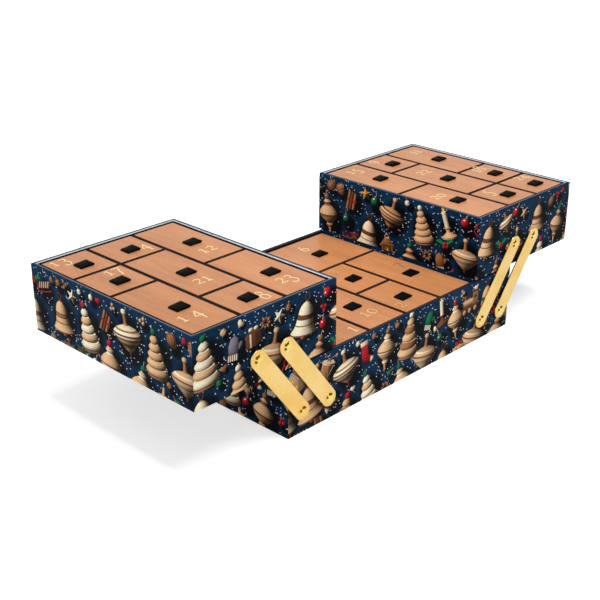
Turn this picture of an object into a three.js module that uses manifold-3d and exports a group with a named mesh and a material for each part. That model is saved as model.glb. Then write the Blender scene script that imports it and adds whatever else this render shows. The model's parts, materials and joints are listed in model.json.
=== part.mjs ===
// Advent calendar box: a base box and two upper trays that swing out on flat arms.
// Millimetres, +Z up, +X towards the right tray, -Y towards the front. It is modelled open,
// with both trays swung out and resting over the base's outer ends.

import * as THREE from 'three';
import { mergeVertices } from 'three/addons/utils/BufferGeometryUtils.js';
import Module from 'manifold-3d';

const wasm = await Module();
wasm.setup();

// Boxes
const TRAY_LENGTH = 181;
const BOX_DEPTH = 240;
const TRAY_HEIGHT = 72;
const BASE_HEIGHT = 74;
const WALL = 4;
const FLOOR = 4;
const TRAY_PARTING = 1; // between the two trays when the box is closed
const TRAY_LIFT = 2.5; // from the base's rim up to the trays' undersides

// Dividers, which drop into a box as one grid
const DIVIDER = 2.5;
const GRID_FRAME = 2; // the grid's outer frame
const GRID_FIT = 0.3; // round the grid, inside the walls
const DIVIDER_DROP = 1; // from the lids' tops down to the dividers' tops
const RAIL_WIDTH = 2.5;
const RAIL_HEIGHT = 5;
const BACK_CELL_DEPTH = 84; // the wide compartment at the back of the base

// Lids
const LID_THICKNESS = 4;
const LID_FIT = 0.75; // round each lid
const TRAY_LID_RECESS = 1.25; // below the rim
const BASE_LID_RECESS = 2;
const BASE_LID_SETBACK = 2; // from the open trays' inner faces to the base's lids

// Pull loops: a strap folded back on itself, whose two ends go through one slit in the lid
const LOOP_LENGTH = 16; // from the slit to the outside of the fold
const LOOP_WIDTH = 13.5;
const LOOP_RISE = 2.75;
const LOOP_THICKNESS = 0.75;
const LOOP_ROOT = 0.8; // let into the lid
const LOOP_SLIT = 2; // along the loop
const LOOP_CLEARANCE = 0.35; // under the strap
const LOOP_FORWARD = 6.2; // from the lid's middle towards the front
const LOOP_SHIFT = 1; // from the lid's middle towards the right

// Side decks
const DECK_FIT = 0.3; // to the walls, and to the trays that rest on the decks

// Arms
const ARM_CENTRES = 95.5;
const ARM_LEAN = THREE.MathUtils.degToRad(37); // from upright, when open and when closed
const ARM_WIDTH = 19;
const ARM_THICKNESS = 2;
const ARM_CHAMFER = 0.5;
const ARM_SPACING = 37.3; // between the two arms on one face
const PIVOT_INSET = 17.6; // from the base's end to the outer arm's pivot
const PIVOT_HEIGHT = 25;

// Shouldered rivets
const SHANK_RADIUS = 2.5;
const HEAD_RADIUS = 5.4;
const HEAD_HEIGHT = 1.4;
const HEAD_EDGE = 0.4;
const COLLAR_RADIUS = 5.8;
const COLLAR_THICKNESS = 0.6;
const TAIL_RADIUS = 4;
const TAIL_THICKNESS = 1;
const TAIL_RECESS = 0.3; // below the wall's inner face
const RUNNING_FIT = 0.1; // round a shank, and on each side of an arm

// Steps of round surfaces
const RIVET_SIDES = 16;
const HOLE_SIDES = 24;
const END_STEPS = 10;
const DOME_STEPS = 3;
const LOOP_STEPS = 6;

// Sizes that follow
const BASE_LENGTH = 2 * TRAY_LENGTH + TRAY_PARTING;
const SWING_SHIFT = 2 * ARM_CENTRES * Math.sin(ARM_LEAN);
const TRAY_BOTTOM = BASE_HEIGHT + TRAY_LIFT;
const TRAY_CENTRE = (TRAY_PARTING + TRAY_LENGTH) / 2 + SWING_SHIFT;
const OPEN_HALF = TRAY_PARTING / 2 + SWING_SHIFT; // from the middle to an open tray's inner face
const FRAME_INSET = WALL + GRID_FIT + GRID_FRAME; // from a box's outer face to its first compartment
const TAIL_SINK = TAIL_THICKNESS + TAIL_RECESS; // depth of the sink for a rivet's tail
const ARM_OFFSET = COLLAR_THICKNESS + RUNNING_FIT + ARM_THICKNESS / 2; // wall's face to an arm's middle

// Where the days lie: strips count from -X to +X, rows from front to back
const LEFT_PLACES = [
  { day: 14, strips: [0, 1], rows: [0, 2] },
  { day: 17, strips: [0, 1], rows: [2, 3] },
  { day: 13, strips: [0, 1], rows: [3, 4] },
  { day: 8, strips: [1, 2], rows: [0, 1] },
  { day: 21, strips: [1, 2], rows: [1, 3] },
  { day: 4, strips: [1, 2], rows: [3, 4] },
  { day: 23, strips: [2, 3], rows: [0, 2] },
  { day: 12, strips: [2, 3], rows: [2, 4] },
];
const RIGHT_PLACES = [
  { day: 20, strips: [0, 1], rows: [0, 2] },
  { day: 15, strips: [0, 1], rows: [2, 4] },
  { day: 5, strips: [1, 2], rows: [0, 1] },
  { day: 22, strips: [1, 2], rows: [1, 3] },
  { day: 9, strips: [1, 2], rows: [3, 4] },
  { day: 24, strips: [2, 3], rows: [0, 1] },
  { day: 18, strips: [2, 3], rows: [1, 2] },
  { day: 11, strips: [2, 3], rows: [2, 4] },
];
const BASE_LEFT_PLACES = [
  { day: 1, strips: [0, 1], rows: [0, 1] },
  { day: 19, strips: [0, 1], rows: [1, 2] },
  { day: 10, strips: [1, 2], rows: [0, 1] },
  { day: 16, strips: [1, 2], rows: [1, 2] },
];
const BASE_RIGHT_PLACES = [
  { day: 2, strips: [2, 3], rows: [0, 1] },
  { day: 3, strips: [2, 3], rows: [1, 2] },
  { day: 7, strips: [3, 4], rows: [0, 2] },
  { day: 6, strips: [2, 4], rows: [2, 3] },
];
const TRAY_STRIPS = 3;
const TRAY_ROWS = 4;
const BASE_STRIPS = 4;
const BASE_LEFT_ROWS = 2;

const printedBoard = new THREE.MeshStandardMaterial({ color: 0x16304e, roughness: 0.45, flatShading: true });
const darkBoard = new THREE.MeshStandardMaterial({ color: 0x171c28, roughness: 0.7, flatShading: true });
const lidWood = new THREE.MeshStandardMaterial({ color: 0xcf936c, roughness: 0.55, flatShading: true });
const brass = new THREE.MeshStandardMaterial({
  color: 0xf0c476,
  roughness: 0.3,
  metalness: 1,
  flatShading: true,
});

// Turns a closed geometry into a solid that can be joined and cut.
function solidOf(geometry) {
  const plain = geometry.clone();
  plain.deleteAttribute('normal');
  plain.deleteAttribute('uv');
  const merged = mergeVertices(plain);
  return new wasm.Manifold(
    new wasm.Mesh({
      numProp: 3,
      vertProperties: merged.attributes.position.array,
      triVerts: Uint32Array.from(merged.index.array),
    }),
  );
}

function geometryOf(solid) {
  const { vertProperties, triVerts } = solid.getMesh();
  const geometry = new THREE.BufferGeometry();
  geometry.setAttribute('position', new THREE.BufferAttribute(vertProperties, 3));
  geometry.setIndex(new THREE.BufferAttribute(triVerts, 1));
  geometry.computeVertexNormals();
  return geometry;
}

// A block between two corners.
function block([x0, y0, z0], [x1, y1, z1]) {
  const geometry = new THREE.BoxGeometry(x1 - x0, y1 - y0, z1 - z0);
  return geometry.translate((x0 + x1) / 2, (y0 + y1) / 2, (z0 + z1) / 2);
}

// A round cutter along Y whose flats, not its corners, lie at the radius.
function roundCutter(radius, x, y, z, length) {
  const corner = radius / Math.cos(Math.PI / HOLE_SIDES);
  const geometry = new THREE.CylinderGeometry(corner, corner, length, HOLE_SIDES);
  return solidOf(geometry.translate(x, y, z));
}

function addMesh(parent, name, geometry, material, x = 0, y = 0, z = 0) {
  const mesh = new THREE.Mesh(geometry, material.clone());
  mesh.name = name;
  mesh.position.set(x, y, z);
  parent.add(mesh);
  return mesh;
}

// Centre lines of the dividers that share a span of compartments equally, with those of its two ends.
function centreLines(low, high, count) {
  const first = low - DIVIDER / 2;
  const pitch = (high - low + DIVIDER) / count;
  return Array.from({ length: count + 1 }, (_, i) => first + i * pitch);
}

// The compartments that a list of places makes between two sets of centre lines.
function compartments(places, columns, rows) {
  return places.map(({ day, strips, rows: [front, back] }) => ({
    day,
    x0: columns[strips[0]] + DIVIDER / 2,
    x1: columns[strips[1]] - DIVIDER / 2,
    y0: rows[front] + DIVIDER / 2,
    y1: rows[back] - DIVIDER / 2,
  }));
}

function trayCompartments(places) {
  const halfLength = TRAY_LENGTH / 2 - FRAME_INSET;
  const halfDepth = BOX_DEPTH / 2 - FRAME_INSET;
  const columns = centreLines(-halfLength, halfLength, TRAY_STRIPS);
  return compartments(places, columns, centreLines(-halfDepth, halfDepth, TRAY_ROWS));
}

function baseCompartments() {
  const halfLength = OPEN_HALF - BASE_LID_SETBACK + LID_FIT;
  const halfDepth = BOX_DEPTH / 2 - FRAME_INSET;
  const columns = centreLines(-halfLength, halfLength, BASE_STRIPS);
  const leftRows = centreLines(-halfDepth, halfDepth, BASE_LEFT_ROWS);
  const backCellFront = halfDepth - BACK_CELL_DEPTH;
  const frontRows = centreLines(-halfDepth, backCellFront - DIVIDER, 2);
  return [
    ...compartments(BASE_LEFT_PLACES, columns, leftRows),
    ...compartments(BASE_RIGHT_PLACES, columns, [...frontRows, halfDepth + DIVIDER / 2]),
  ];
}

// An open box with its floor, and a hole and a sink in the front and back walls for each pivot.
function shellGeometry(length, height, pivots) {
  const halfLength = length / 2;
  const halfDepth = BOX_DEPTH / 2;
  const outer = solidOf(block([-halfLength, -halfDepth, 0], [halfLength, halfDepth, height]));
  const hollow = block(
    [WALL - halfLength, WALL - halfDepth, FLOOR],
    [halfLength - WALL, halfDepth - WALL, height + WALL],
  );
  let shell = outer.subtract(solidOf(hollow));
  for (const [x, z] of pivots) {
    shell = shell.subtract(roundCutter(SHANK_RADIUS + RUNNING_FIT, x, 0, z, BOX_DEPTH + WALL));
    const sinkLength = BOX_DEPTH - 2 * (WALL - TAIL_SINK);
    shell = shell.subtract(roundCutter(TAIL_RADIUS + RUNNING_FIT, x, 0, z, sinkLength));
  }
  return geometryOf(shell);
}

// A frame with dividers, cut out of one block: each compartment is a pocket for its lid,
// a throat between the rails that carry the lid, and the space below.
function gridGeometry(length, gridTop, railTop, cells, openBays) {
  const halfLength = length / 2 - WALL - GRID_FIT;
  const halfDepth = BOX_DEPTH / 2 - WALL - GRID_FIT;
  let grid = solidOf(block([-halfLength, -halfDepth, FLOOR], [halfLength, halfDepth, gridTop]));
  const cut = (x0, x1, y0, y1, z0, z1) => {
    grid = grid.subtract(solidOf(block([x0, y0, z0], [x1, y1, z1])));
  };
  for (const { x0, x1, y0, y1 } of cells) {
    cut(x0, x1, y0, y1, railTop, gridTop + DIVIDER);
    cut(
      x0 + RAIL_WIDTH,
      x1 - RAIL_WIDTH,
      y0 + RAIL_WIDTH,
      y1 - RAIL_WIDTH,
      railTop - RAIL_HEIGHT - DIVIDER,
      railTop + DIVIDER,
    );
    cut(x0, x1, y0, y1, FLOOR - DIVIDER, railTop - RAIL_HEIGHT);
  }
  for (const [x0, x1] of openBays) {
    cut(x0, x1, GRID_FRAME - halfDepth, halfDepth - GRID_FRAME, FLOOR - DIVIDER, gridTop + DIVIDER);
  }
  return geometryOf(grid);
}

// A folded strap lying along X: both ends stand in the slit at its left end, and the fold at its
// right end is open. The origin is on the board, under the loop's middle.
function loopGeometry() {
  const foldRadius = (LOOP_RISE - LOOP_CLEARANCE) / 2;
  const foldX = LOOP_LENGTH - foldRadius;
  const foldZ = LOOP_CLEARANCE + foldRadius;
  const eyeRadius = foldRadius - LOOP_THICKNESS;
  const slitRise = LOOP_CLEARANCE + 2 * LOOP_THICKNESS; // where the two plies leave the slit
  const side = new THREE.Shape();
  side.moveTo(0, -LOOP_ROOT);
  side.lineTo(LOOP_SLIT, -LOOP_ROOT);
  side.lineTo(LOOP_SLIT, 0);
  side.lineTo(2 * LOOP_SLIT, LOOP_CLEARANCE);
  side.absarc(foldX, foldZ, foldRadius, -Math.PI / 2, Math.PI / 2);
  side.lineTo(LOOP_SLIT, slitRise);
  side.lineTo(0, LOOP_THICKNESS);
  const eye = new THREE.Path();
  eye.absarc(foldX, foldZ, eyeRadius, Math.PI / 2, -Math.PI / 2, true);
  eye.lineTo(2 * LOOP_SLIT, LOOP_CLEARANCE + LOOP_THICKNESS);
  side.holes.push(eye);
  const strap = new THREE.ExtrudeGeometry(side, {
    depth: LOOP_WIDTH,
    bevelEnabled: false,
    curveSegments: LOOP_STEPS,
  });
  return strap.translate(-LOOP_LENGTH / 2, 0, -LOOP_WIDTH / 2).rotateX(Math.PI / 2);
}

// A lid's board with its pull loop. The origin is at the middle of the board's underside.
function lidGeometry({ x0, x1, y0, y1 }) {
  const halfLength = (x1 - x0) / 2 - LID_FIT;
  const halfDepth = (y1 - y0) / 2 - LID_FIT;
  const board = solidOf(block([-halfLength, -halfDepth, 0], [halfLength, halfDepth, LID_THICKNESS]));
  const loop = solidOf(loopGeometry().translate(LOOP_SHIFT, -LOOP_FORWARD, LID_THICKNESS));
  return geometryOf(board.add(loop));
}

// A flat bar with round ends and chamfered edges. The origin is at its lower pivot.
function armGeometry() {
  const outline = new THREE.Shape();
  outline.absarc(0, ARM_CENTRES, ARM_WIDTH / 2, 0, Math.PI);
  outline.absarc(0, 0, ARM_WIDTH / 2, Math.PI, 2 * Math.PI);
  const middle = ARM_THICKNESS - 2 * ARM_CHAMFER;
  const bar = new THREE.ExtrudeGeometry(outline, {
    depth: middle,
    bevelThickness: ARM_CHAMFER,
    bevelSize: ARM_CHAMFER,
    bevelOffset: -ARM_CHAMFER,
    bevelSegments: 1,
    curveSegments: END_STEPS,
  });
  bar.translate(0, 0, -middle / 2).rotateX(Math.PI / 2);
  let arm = solidOf(bar);
  for (const z of [0, ARM_CENTRES]) {
    arm = arm.subtract(roundCutter(SHANK_RADIUS + RUNNING_FIT, 0, 0, z, 2 * ARM_THICKNESS));
  }
  return geometryOf(arm);
}

// A rivet along Y with its head towards -Y. The origin is on the wall's outer face.
function rivetGeometry() {
  const headSeat = -(COLLAR_THICKNESS + ARM_THICKNESS + 2 * RUNNING_FIT);
  const sinkSeat = WALL - TAIL_SINK;
  const tailEnd = sinkSeat + TAIL_THICKNESS;
  const profile = [];
  for (let step = 0; step <= DOME_STEPS; step += 1) {
    const turn = (Math.PI / 2) * (step / DOME_STEPS);
    const drop = HEAD_EDGE + (HEAD_HEIGHT - HEAD_EDGE) * Math.cos(turn);
    const radius = step === 0 ? 0 : HEAD_RADIUS * Math.sin(turn);
    profile.push(new THREE.Vector2(radius, headSeat - drop));
  }
  const rest = [
    [HEAD_RADIUS, headSeat],
    [SHANK_RADIUS, headSeat],
    [SHANK_RADIUS, -COLLAR_THICKNESS],
    [COLLAR_RADIUS, -COLLAR_THICKNESS],
    [COLLAR_RADIUS, 0],
    [SHANK_RADIUS, 0],
    [SHANK_RADIUS, sinkSeat],
    [TAIL_RADIUS, sinkSeat],
    [TAIL_RADIUS, tailEnd],
    [0, tailEnd],
  ];
  profile.push(...rest.map(([radius, y]) => new THREE.Vector2(radius, y)));
  return new THREE.LatheGeometry(profile, RIVET_SIDES);
}

// The pivots of one side's arms on the base: side is -1 on the left and 1 on the right.
function basePivots(side) {
  const outer = BASE_LENGTH / 2 - PIVOT_INSET;
  return { outer: side * outer, inner: side * (outer - ARM_SPACING) };
}

function addLids(parent, cells, restHeight) {
  for (const cell of cells) {
    const name = `lid_${String(cell.day).padStart(2, '0')}`;
    const x = (cell.x0 + cell.x1) / 2;
    const y = (cell.y0 + cell.y1) / 2;
    addMesh(parent, name, lidGeometry(cell), lidWood, x, y, restHeight);
  }
}

function buildBase() {
  const base = new THREE.Group();
  const left = basePivots(-1);
  const right = basePivots(1);
  const pivots = [left.outer, left.inner, right.inner, right.outer].map((x) => [x, PIVOT_HEIGHT]);
  addMesh(base, 'base_shell', shellGeometry(BASE_LENGTH, BASE_HEIGHT, pivots), printedBoard);
  const lidTop = BASE_HEIGHT - BASE_LID_RECESS;
  const gridTop = lidTop - DIVIDER_DROP;
  const cells = baseCompartments();
  const lastCell = Math.max(...cells.map(({ x1 }) => x1));
  const bayStart = lastCell + DIVIDER;
  const bayEnd = BASE_LENGTH / 2 - FRAME_INSET;
  const bays = [
    [-bayEnd, -bayStart],
    [bayStart, bayEnd],
  ];
  const grid = gridGeometry(BASE_LENGTH, gridTop, lidTop - LID_THICKNESS, cells, bays);
  addMesh(base, 'base_divider_grid', grid, darkBoard);
  addLids(base, cells, lidTop - LID_THICKNESS);
  const deckStart = lastCell + DIVIDER / 2;
  const deckEnd = BASE_LENGTH / 2 - WALL - DECK_FIT;
  const deckDepth = BOX_DEPTH - 2 * (WALL + DECK_FIT);
  const deckThickness = TRAY_BOTTOM - DECK_FIT - gridTop;
  const deck = new THREE.BoxGeometry(deckEnd - deckStart, deckDepth, deckThickness);
  for (const [name, side] of [['left', -1], ['right', 1]]) {
    const x = (side * (deckStart + deckEnd)) / 2;
    addMesh(base, `base_side_deck_${name}`, deck, darkBoard, x, 0, gridTop + deckThickness / 2);
  }
  return base;
}

function buildTray(name, side, places) {
  const tray = new THREE.Group();
  tray.position.set(side * TRAY_CENTRE, 0, TRAY_BOTTOM);
  const base = basePivots(side);
  const rise = PIVOT_HEIGHT + ARM_CENTRES * Math.cos(ARM_LEAN) - TRAY_BOTTOM;
  const shift = (side * SWING_SHIFT) / 2 - side * TRAY_CENTRE;
  const pivots = [base.outer, base.inner].map((x) => [x + shift, rise]);
  addMesh(tray, `${name}_tray_shell`, shellGeometry(TRAY_LENGTH, TRAY_HEIGHT, pivots), printedBoard);
  const lidTop = TRAY_HEIGHT - TRAY_LID_RECESS;
  const cells = trayCompartments(places);
  const grid = gridGeometry(TRAY_LENGTH, lidTop - DIVIDER_DROP, lidTop - LID_THICKNESS, cells, []);
  addMesh(tray, `${name}_tray_divider_grid`, grid, darkBoard);
  addLids(tray, cells, lidTop - LID_THICKNESS);
  return tray;
}

// The four arms of one side with their rivets: two arms on the front face and two on the back.
function buildArms(name, side) {
  const arms = new THREE.Group();
  const arm = armGeometry();
  const rivet = rivetGeometry();
  const lean = side * ARM_LEAN;
  for (const [face, facing] of [['front', -1], ['back', 1]]) {
    for (const [place, x] of Object.entries(basePivots(side))) {
      const label = `${name}_${face}_${place}_arm`;
      const wallFace = (facing * BOX_DEPTH) / 2;
      const bar = addMesh(arms, label, arm, brass, x, wallFace + facing * ARM_OFFSET, PIVOT_HEIGHT);
      bar.rotation.y = lean;
      const topX = x + ARM_CENTRES * Math.sin(lean);
      const topZ = PIVOT_HEIGHT + ARM_CENTRES * Math.cos(lean);
      const lower = addMesh(arms, `${label}_base_rivet`, rivet, brass, x, wallFace, PIVOT_HEIGHT);
      const upper = addMesh(arms, `${label}_tray_rivet`, rivet, brass, topX, wallFace, topZ);
      for (const pin of [lower, upper]) pin.rotation.z = facing > 0 ? Math.PI : 0;
    }
  }
  return arms;
}

const box = new THREE.Group();
box.add(buildBase());
box.add(buildTray('left', -1, LEFT_PLACES));
box.add(buildTray('right', 1, RIGHT_PLACES));
box.add(buildArms('left', -1));
box.add(buildArms('right', 1));

export default box;
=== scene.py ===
"""The looks of an advent calendar box: printed walls, veneered lids, leather loops, foil and brass."""

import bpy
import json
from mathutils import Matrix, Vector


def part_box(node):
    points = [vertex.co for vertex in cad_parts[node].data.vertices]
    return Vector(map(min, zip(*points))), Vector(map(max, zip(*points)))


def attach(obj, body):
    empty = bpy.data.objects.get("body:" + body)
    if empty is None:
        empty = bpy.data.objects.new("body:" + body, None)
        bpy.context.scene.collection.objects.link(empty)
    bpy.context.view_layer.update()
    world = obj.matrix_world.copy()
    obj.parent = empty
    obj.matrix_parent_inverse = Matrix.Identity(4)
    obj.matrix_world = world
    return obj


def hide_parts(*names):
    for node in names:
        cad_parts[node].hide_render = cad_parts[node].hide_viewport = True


bl_info = {
    "name": "Advent Calendar Box",
    "version": (1, 0, 0),
    "blender": (4, 5, 0),
    "location": "View3D > Sidebar > Calendar",
    "description": "Dresses a cantilever advent calendar box around its fixed frame",
    "category": "Object",
}

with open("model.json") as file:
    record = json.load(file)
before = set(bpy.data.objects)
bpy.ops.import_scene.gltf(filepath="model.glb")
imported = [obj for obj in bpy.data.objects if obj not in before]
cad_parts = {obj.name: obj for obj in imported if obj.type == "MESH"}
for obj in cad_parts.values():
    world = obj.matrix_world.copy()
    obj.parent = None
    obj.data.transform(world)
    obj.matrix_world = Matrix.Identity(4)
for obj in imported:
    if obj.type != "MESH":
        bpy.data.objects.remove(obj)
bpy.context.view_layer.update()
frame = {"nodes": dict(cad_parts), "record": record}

import json
import math
import random

import bmesh
import bpy
from bpy.props import FloatProperty, FloatVectorProperty, IntProperty, PointerProperty
from mathutils import Vector

MM = 0.001

SHELLS = {
    "base": ("base_shell", "base_divider_grid"),
    "left_tray": ("left_tray_shell", "left_tray_divider_grid"),
    "right_tray": ("right_tray_shell", "right_tray_divider_grid"),
}
DECKS = ("base_side_deck_left", "base_side_deck_right")
LIDS = sorted(name for name in frame["nodes"] if name.startswith("lid_"))
ARMS = sorted(name for name in frame["nodes"] if name.endswith("_arm"))
BODY_OF = {node: body for body, nodes in frame["record"]["behaviour"]["bodies"].items() for node in nodes}


# Colours and nodes


NOISE, RAMP, BUMP = "ShaderNodeTexNoise", "ShaderNodeValToRGB", "ShaderNodeBump"
MATH, MAP_RANGE = "ShaderNodeMath", "ShaderNodeMapRange"
MULTIPLIED = {"data_type": "RGBA", "blend_type": "MULTIPLY"}


def linear(code):
    """A linear RGB colour from an sRGB hex code."""
    parts = (int(code[i:i + 2], 16) / 255 for i in (1, 3, 5))
    return tuple(c / 12.92 if c <= 0.04045 else ((c + 0.055) / 1.055) ** 2.4 for c in parts)


def rgba(colour):
    return (*colour, 1.0)


def scaled(colour, factor):
    return tuple(c * factor for c in colour)


def per_metre(size_mm):
    """How often a thing of this size fits in a metre, which is a pattern's scale."""
    return 1 / (size_mm * MM)


def shades(colour, dark, pale):
    """Two stops of a ramp that scale a colour, each given as its place and its factor."""
    return [(place, scaled(colour, factor)) for place, factor in (dark, pale)]


def add_node(material, kind, links=None, stops=(), **settings):
    """Adds a node with its settings and links.

    A link is a socket, a node whose first output is meant, or a value to set on the input. The stops are a
    colour ramp's, each a place and a linear colour.
    """
    node = material.node_tree.nodes.new(kind)
    for name, value in settings.items():
        setattr(node, name, value)
    for key, value in (links or {}).items():
        if isinstance(value, bpy.types.Node):
            value = value.outputs[0]
        if isinstance(value, bpy.types.NodeSocket):
            material.node_tree.links.new(value, node.inputs[key])
        else:
            node.inputs[key].default_value = value
    while len(stops) > 2 and len(node.color_ramp.elements) < len(stops):
        node.color_ramp.elements.new(0.5)
    for i, (place, colour) in enumerate(stops):
        node.color_ramp.elements[i].position = place
        node.color_ramp.elements[i].color = rgba(colour)
    return node


def new_material(name):
    material = bpy.data.materials.new(name)
    material.use_nodes = True
    material.node_tree.nodes.clear()
    return material


def surface(material, links):
    """Ends a material: a Principled shader with these inputs, on its output."""
    shader = add_node(material, "ShaderNodeBsdfPrincipled", links)
    add_node(material, "ShaderNodeOutputMaterial", {"Surface": shader})
    return material


def object_point(material, stretch=(1, 1, 1)):
    """The place on the object in metres, stretched for patterns that run one way."""
    place = add_node(material, "ShaderNodeTexCoord").outputs["Object"]
    return add_node(material, "ShaderNodeMapping", {"Vector": place, "Scale": stretch})


def grained(name, colour, grain, dark, pale, gloss, relief):
    """A material whose fine grain shades its one colour and stands out a little.

    grain is its size in mm, detail and roughness, dark and pale are places on it and factors on the colour,
    gloss is the surface's roughness and specular level, and relief is its depth in mm and strength.
    """
    material = new_material(name)
    size, detail, roughness = grain
    pattern = add_node(material, NOISE, {"Vector": object_point(material), "Scale": per_metre(size),
                                         "Detail": detail, "Roughness": roughness})
    tone = add_node(material, RAMP, {"Fac": pattern}, shades(colour, dark, pale))
    height = add_node(material, BUMP, {"Height": pattern, "Distance": relief[0] * MM, "Strength": relief[1]})
    return surface(material, {"Base Color": tone, "Roughness": gloss[0], "Specular IOR Level": gloss[1],
                              "Normal": height})


# Materials


def wrap_paper(colours):
    """Laminated paper wrap, offset printed: a deep navy ground with a soft sheen and faint fibre relief."""
    material = new_material("laminated_navy_paper")
    point = object_point(material)
    clouds = add_node(material, NOISE, {"Vector": point, "Scale": per_metre(28), "Detail": 2})
    ground = add_node(material, RAMP, {"Fac": clouds}, shades(colours.navy, (0.3, 0.78), (0.7, 1.2)))
    fibres = add_node(material, NOISE, {"Vector": point, "Scale": per_metre(0.9), "Detail": 2})
    relief = add_node(material, BUMP, {"Height": fibres, "Distance": 0.03 * MM, "Strength": 0.35})
    return surface(material, {"Base Color": ground, "Roughness": 0.55, "Specular IOR Level": 0.04,
                              "Normal": relief})


def printed_ink():
    """Offset ink on the same paper: each point's colour is drawn on the mesh, with wood grain over it."""
    material = new_material("printed_ink")
    drawn = add_node(material, "ShaderNodeAttribute", attribute_name="ink")
    # Grain in the pictured wood is 0.3 mm wide on paper, drawn 0.8 mm wide so that it shows.
    grain = add_node(material, NOISE, {"Vector": object_point(material, (1, 1, 0.3)), "Scale": per_metre(0.8),
                                       "Detail": 3, "Roughness": 0.6})
    streaks = add_node(material, RAMP, {"Fac": grain}, [(0.3, (0.84, 0.82, 0.8)), (0.62, (1.08, 1.07, 1.05))])
    ink = add_node(material, "ShaderNodeMix", {"Factor": 1, 6: drawn, 7: streaks}, **MULTIPLIED).outputs[2]
    return surface(material, {"Base Color": ink, "Roughness": 0.55, "Specular IOR Level": 0.04})


def painted_edge(name, colour):
    """Sealed and painted board edge: satin, with the board's fine fibres just showing through. Its colour is
    painted light: painted reflection and highlight on the trays' rims, painted shade on the base's.
    """
    return grained(name, colour, (1.2, 3, 0.5), (0.25, 0.88), (0.75, 1.1), (0.5, 0.25), (0.04, 0.3))


def dark_board(colours):
    """Dyed greyboard, matt: nearly black with a blue cast, and a coarse felted surface."""
    return grained("dyed_greyboard", colours.board, (1, 4, 0.6), (0.3, 0.75), (0.7, 1.3), (0.85, 0.15),
                   (0.08, 0.5))


def lid_edge(colours):
    """The lids' fibreboard core at its sawn and rounded edges: dark brown, dull and slightly furry. The dark
    brown is partly the core's own stain and partly painted shade that widens the dark lines in the gaps
    between lids.
    """
    return grained("fibreboard_core_and_gap_shade", colours.lid_core, (0.7, 3, 0.6), (0.3, 0.7), (0.7, 1.3), (0.8, 0.2),
                   (0.06, 0.4))


def brass_patina(colours):
    """Painted shade in the rivets' moats, on the side where their shadow falls: brown and dull over the
    brass.
    """
    return grained("brass_patina", colours.patina, (0.6, 3, 0.6), (0.3, 0.6), (0.7, 1.6), (0.7, 0.1),
                   (0.05, 0.4))


def lid_veneer(colours):
    """Cherry veneer under matt lacquer: warm even colour, long fine pores and slow flame figure along Y."""
    material = new_material("cherry_veneer")
    # Pores are 0.2 mm wide and some 6 mm long, drawn 0.55 mm wide and 7 mm long so that they show.
    pores = add_node(material, NOISE, {"Vector": object_point(material, (1, 0.08, 1)),
                                       "Scale": per_metre(0.55), "Detail": 3, "Roughness": 0.6})
    # Growth rings cut almost flat give bands 4 to 9 mm apart that wander along the board.
    wander = add_node(material, NOISE, {"Vector": object_point(material, (1, 0.22, 1)),
                                        "Scale": per_metre(26), "Detail": 2})
    flame = add_node(material, NOISE, {"Vector": object_point(material, (1, 0.1, 1)),
                                       "Scale": per_metre(6.5), "Detail": 3, "Roughness": 0.55})
    slow = add_node(material, RAMP, {"Fac": wander}, shades(colours.veneer, (0.3, 0.92), (0.7, 1.08)))
    bands = add_node(material, RAMP, {"Fac": flame}, [(0.32, (0.9, 0.86, 0.82)), (0.6, (1.05, 1.06, 1.07))])
    wood = add_node(material, "ShaderNodeMix", {"Factor": 0.75, 6: slow, 7: bands}, **MULTIPLIED).outputs[2]
    streaks = add_node(material, RAMP, {"Fac": pores}, [(0.36, (0.76, 0.69, 0.62)), (0.5, (1.02,) * 3)])
    wood = add_node(material, "ShaderNodeMix", {"Factor": 0.4, 6: wood, 7: streaks}, **MULTIPLIED).outputs[2]
    relief = add_node(material, BUMP, {"Height": pores, "Distance": 0.04 * MM, "Strength": 0.25})
    return surface(material, {"Base Color": wood, "Roughness": 0.34, "Specular IOR Level": 0.24,
                              "Normal": relief})


def loop_leather(colours):
    """Black bonded leather: close pebbled grain with a dull wax sheen."""
    material = new_material("black_leather")
    # Pebbles of the grain are about 0.7 mm across.
    links = {"Vector": object_point(material), "Scale": per_metre(0.7)}
    pebbles = add_node(material, "ShaderNodeTexVoronoi", links)
    hide = add_node(material, RAMP, {"Fac": pebbles}, shades(colours.leather, (0.1, 1.3), (0.6, 0.7)))
    relief = add_node(material, BUMP, {"Height": pebbles, "Distance": -0.06 * MM, "Strength": 0.4})
    return surface(material, {"Base Color": hide, "Roughness": 0.65, "Specular IOR Level": 0.04,
                              "Normal": relief})


def foil_gold(colours):
    """Hot-stamped pale gold foil: metal bright, slightly broken by the wood grain under it."""
    material = new_material("stamped_gold_foil")
    links = {"Vector": object_point(material, (0.3, 1, 1)), "Scale": per_metre(0.8), "Detail": 2}
    grain = add_node(material, NOISE, links)
    rough = add_node(material, MAP_RANGE, {"Value": grain, "To Min": 0.28, "To Max": 0.5})
    return surface(material, {"Base Color": rgba(colours.foil), "Metallic": 1, "Roughness": rough})


def satin_brass(name, metal):
    """Sheet brass, tumbled and lacquered: warm pale yellow, with slow drifts from old gold to straw."""
    material = new_material(name)
    point = object_point(material)
    drift = add_node(material, NOISE, {"Vector": point, "Scale": per_metre(30), "Detail": 1})
    old_gold = [c * share for c, share in zip(metal, (0.96, 0.88, 0.72))]
    straw = [c * share for c, share in zip(metal, (1.02, 1.05, 1.2))]
    tone = add_node(material, RAMP, {"Fac": drift}, [(0.32, old_gold), (0.52, metal), (0.7, straw)])
    clouds = add_node(material, NOISE, {"Vector": point, "Scale": per_metre(14), "Detail": 1})
    rough = add_node(material, MAP_RANGE, {"Value": clouds, "To Min": 0.24, "To Max": 0.32})
    return surface(material, {"Base Color": tone, "Metallic": 1, "Roughness": rough})


# Meshes


def add_object(name, data):
    thing = bpy.data.objects.new(name, data)
    bpy.context.scene.collection.objects.link(thing)
    return thing


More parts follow.
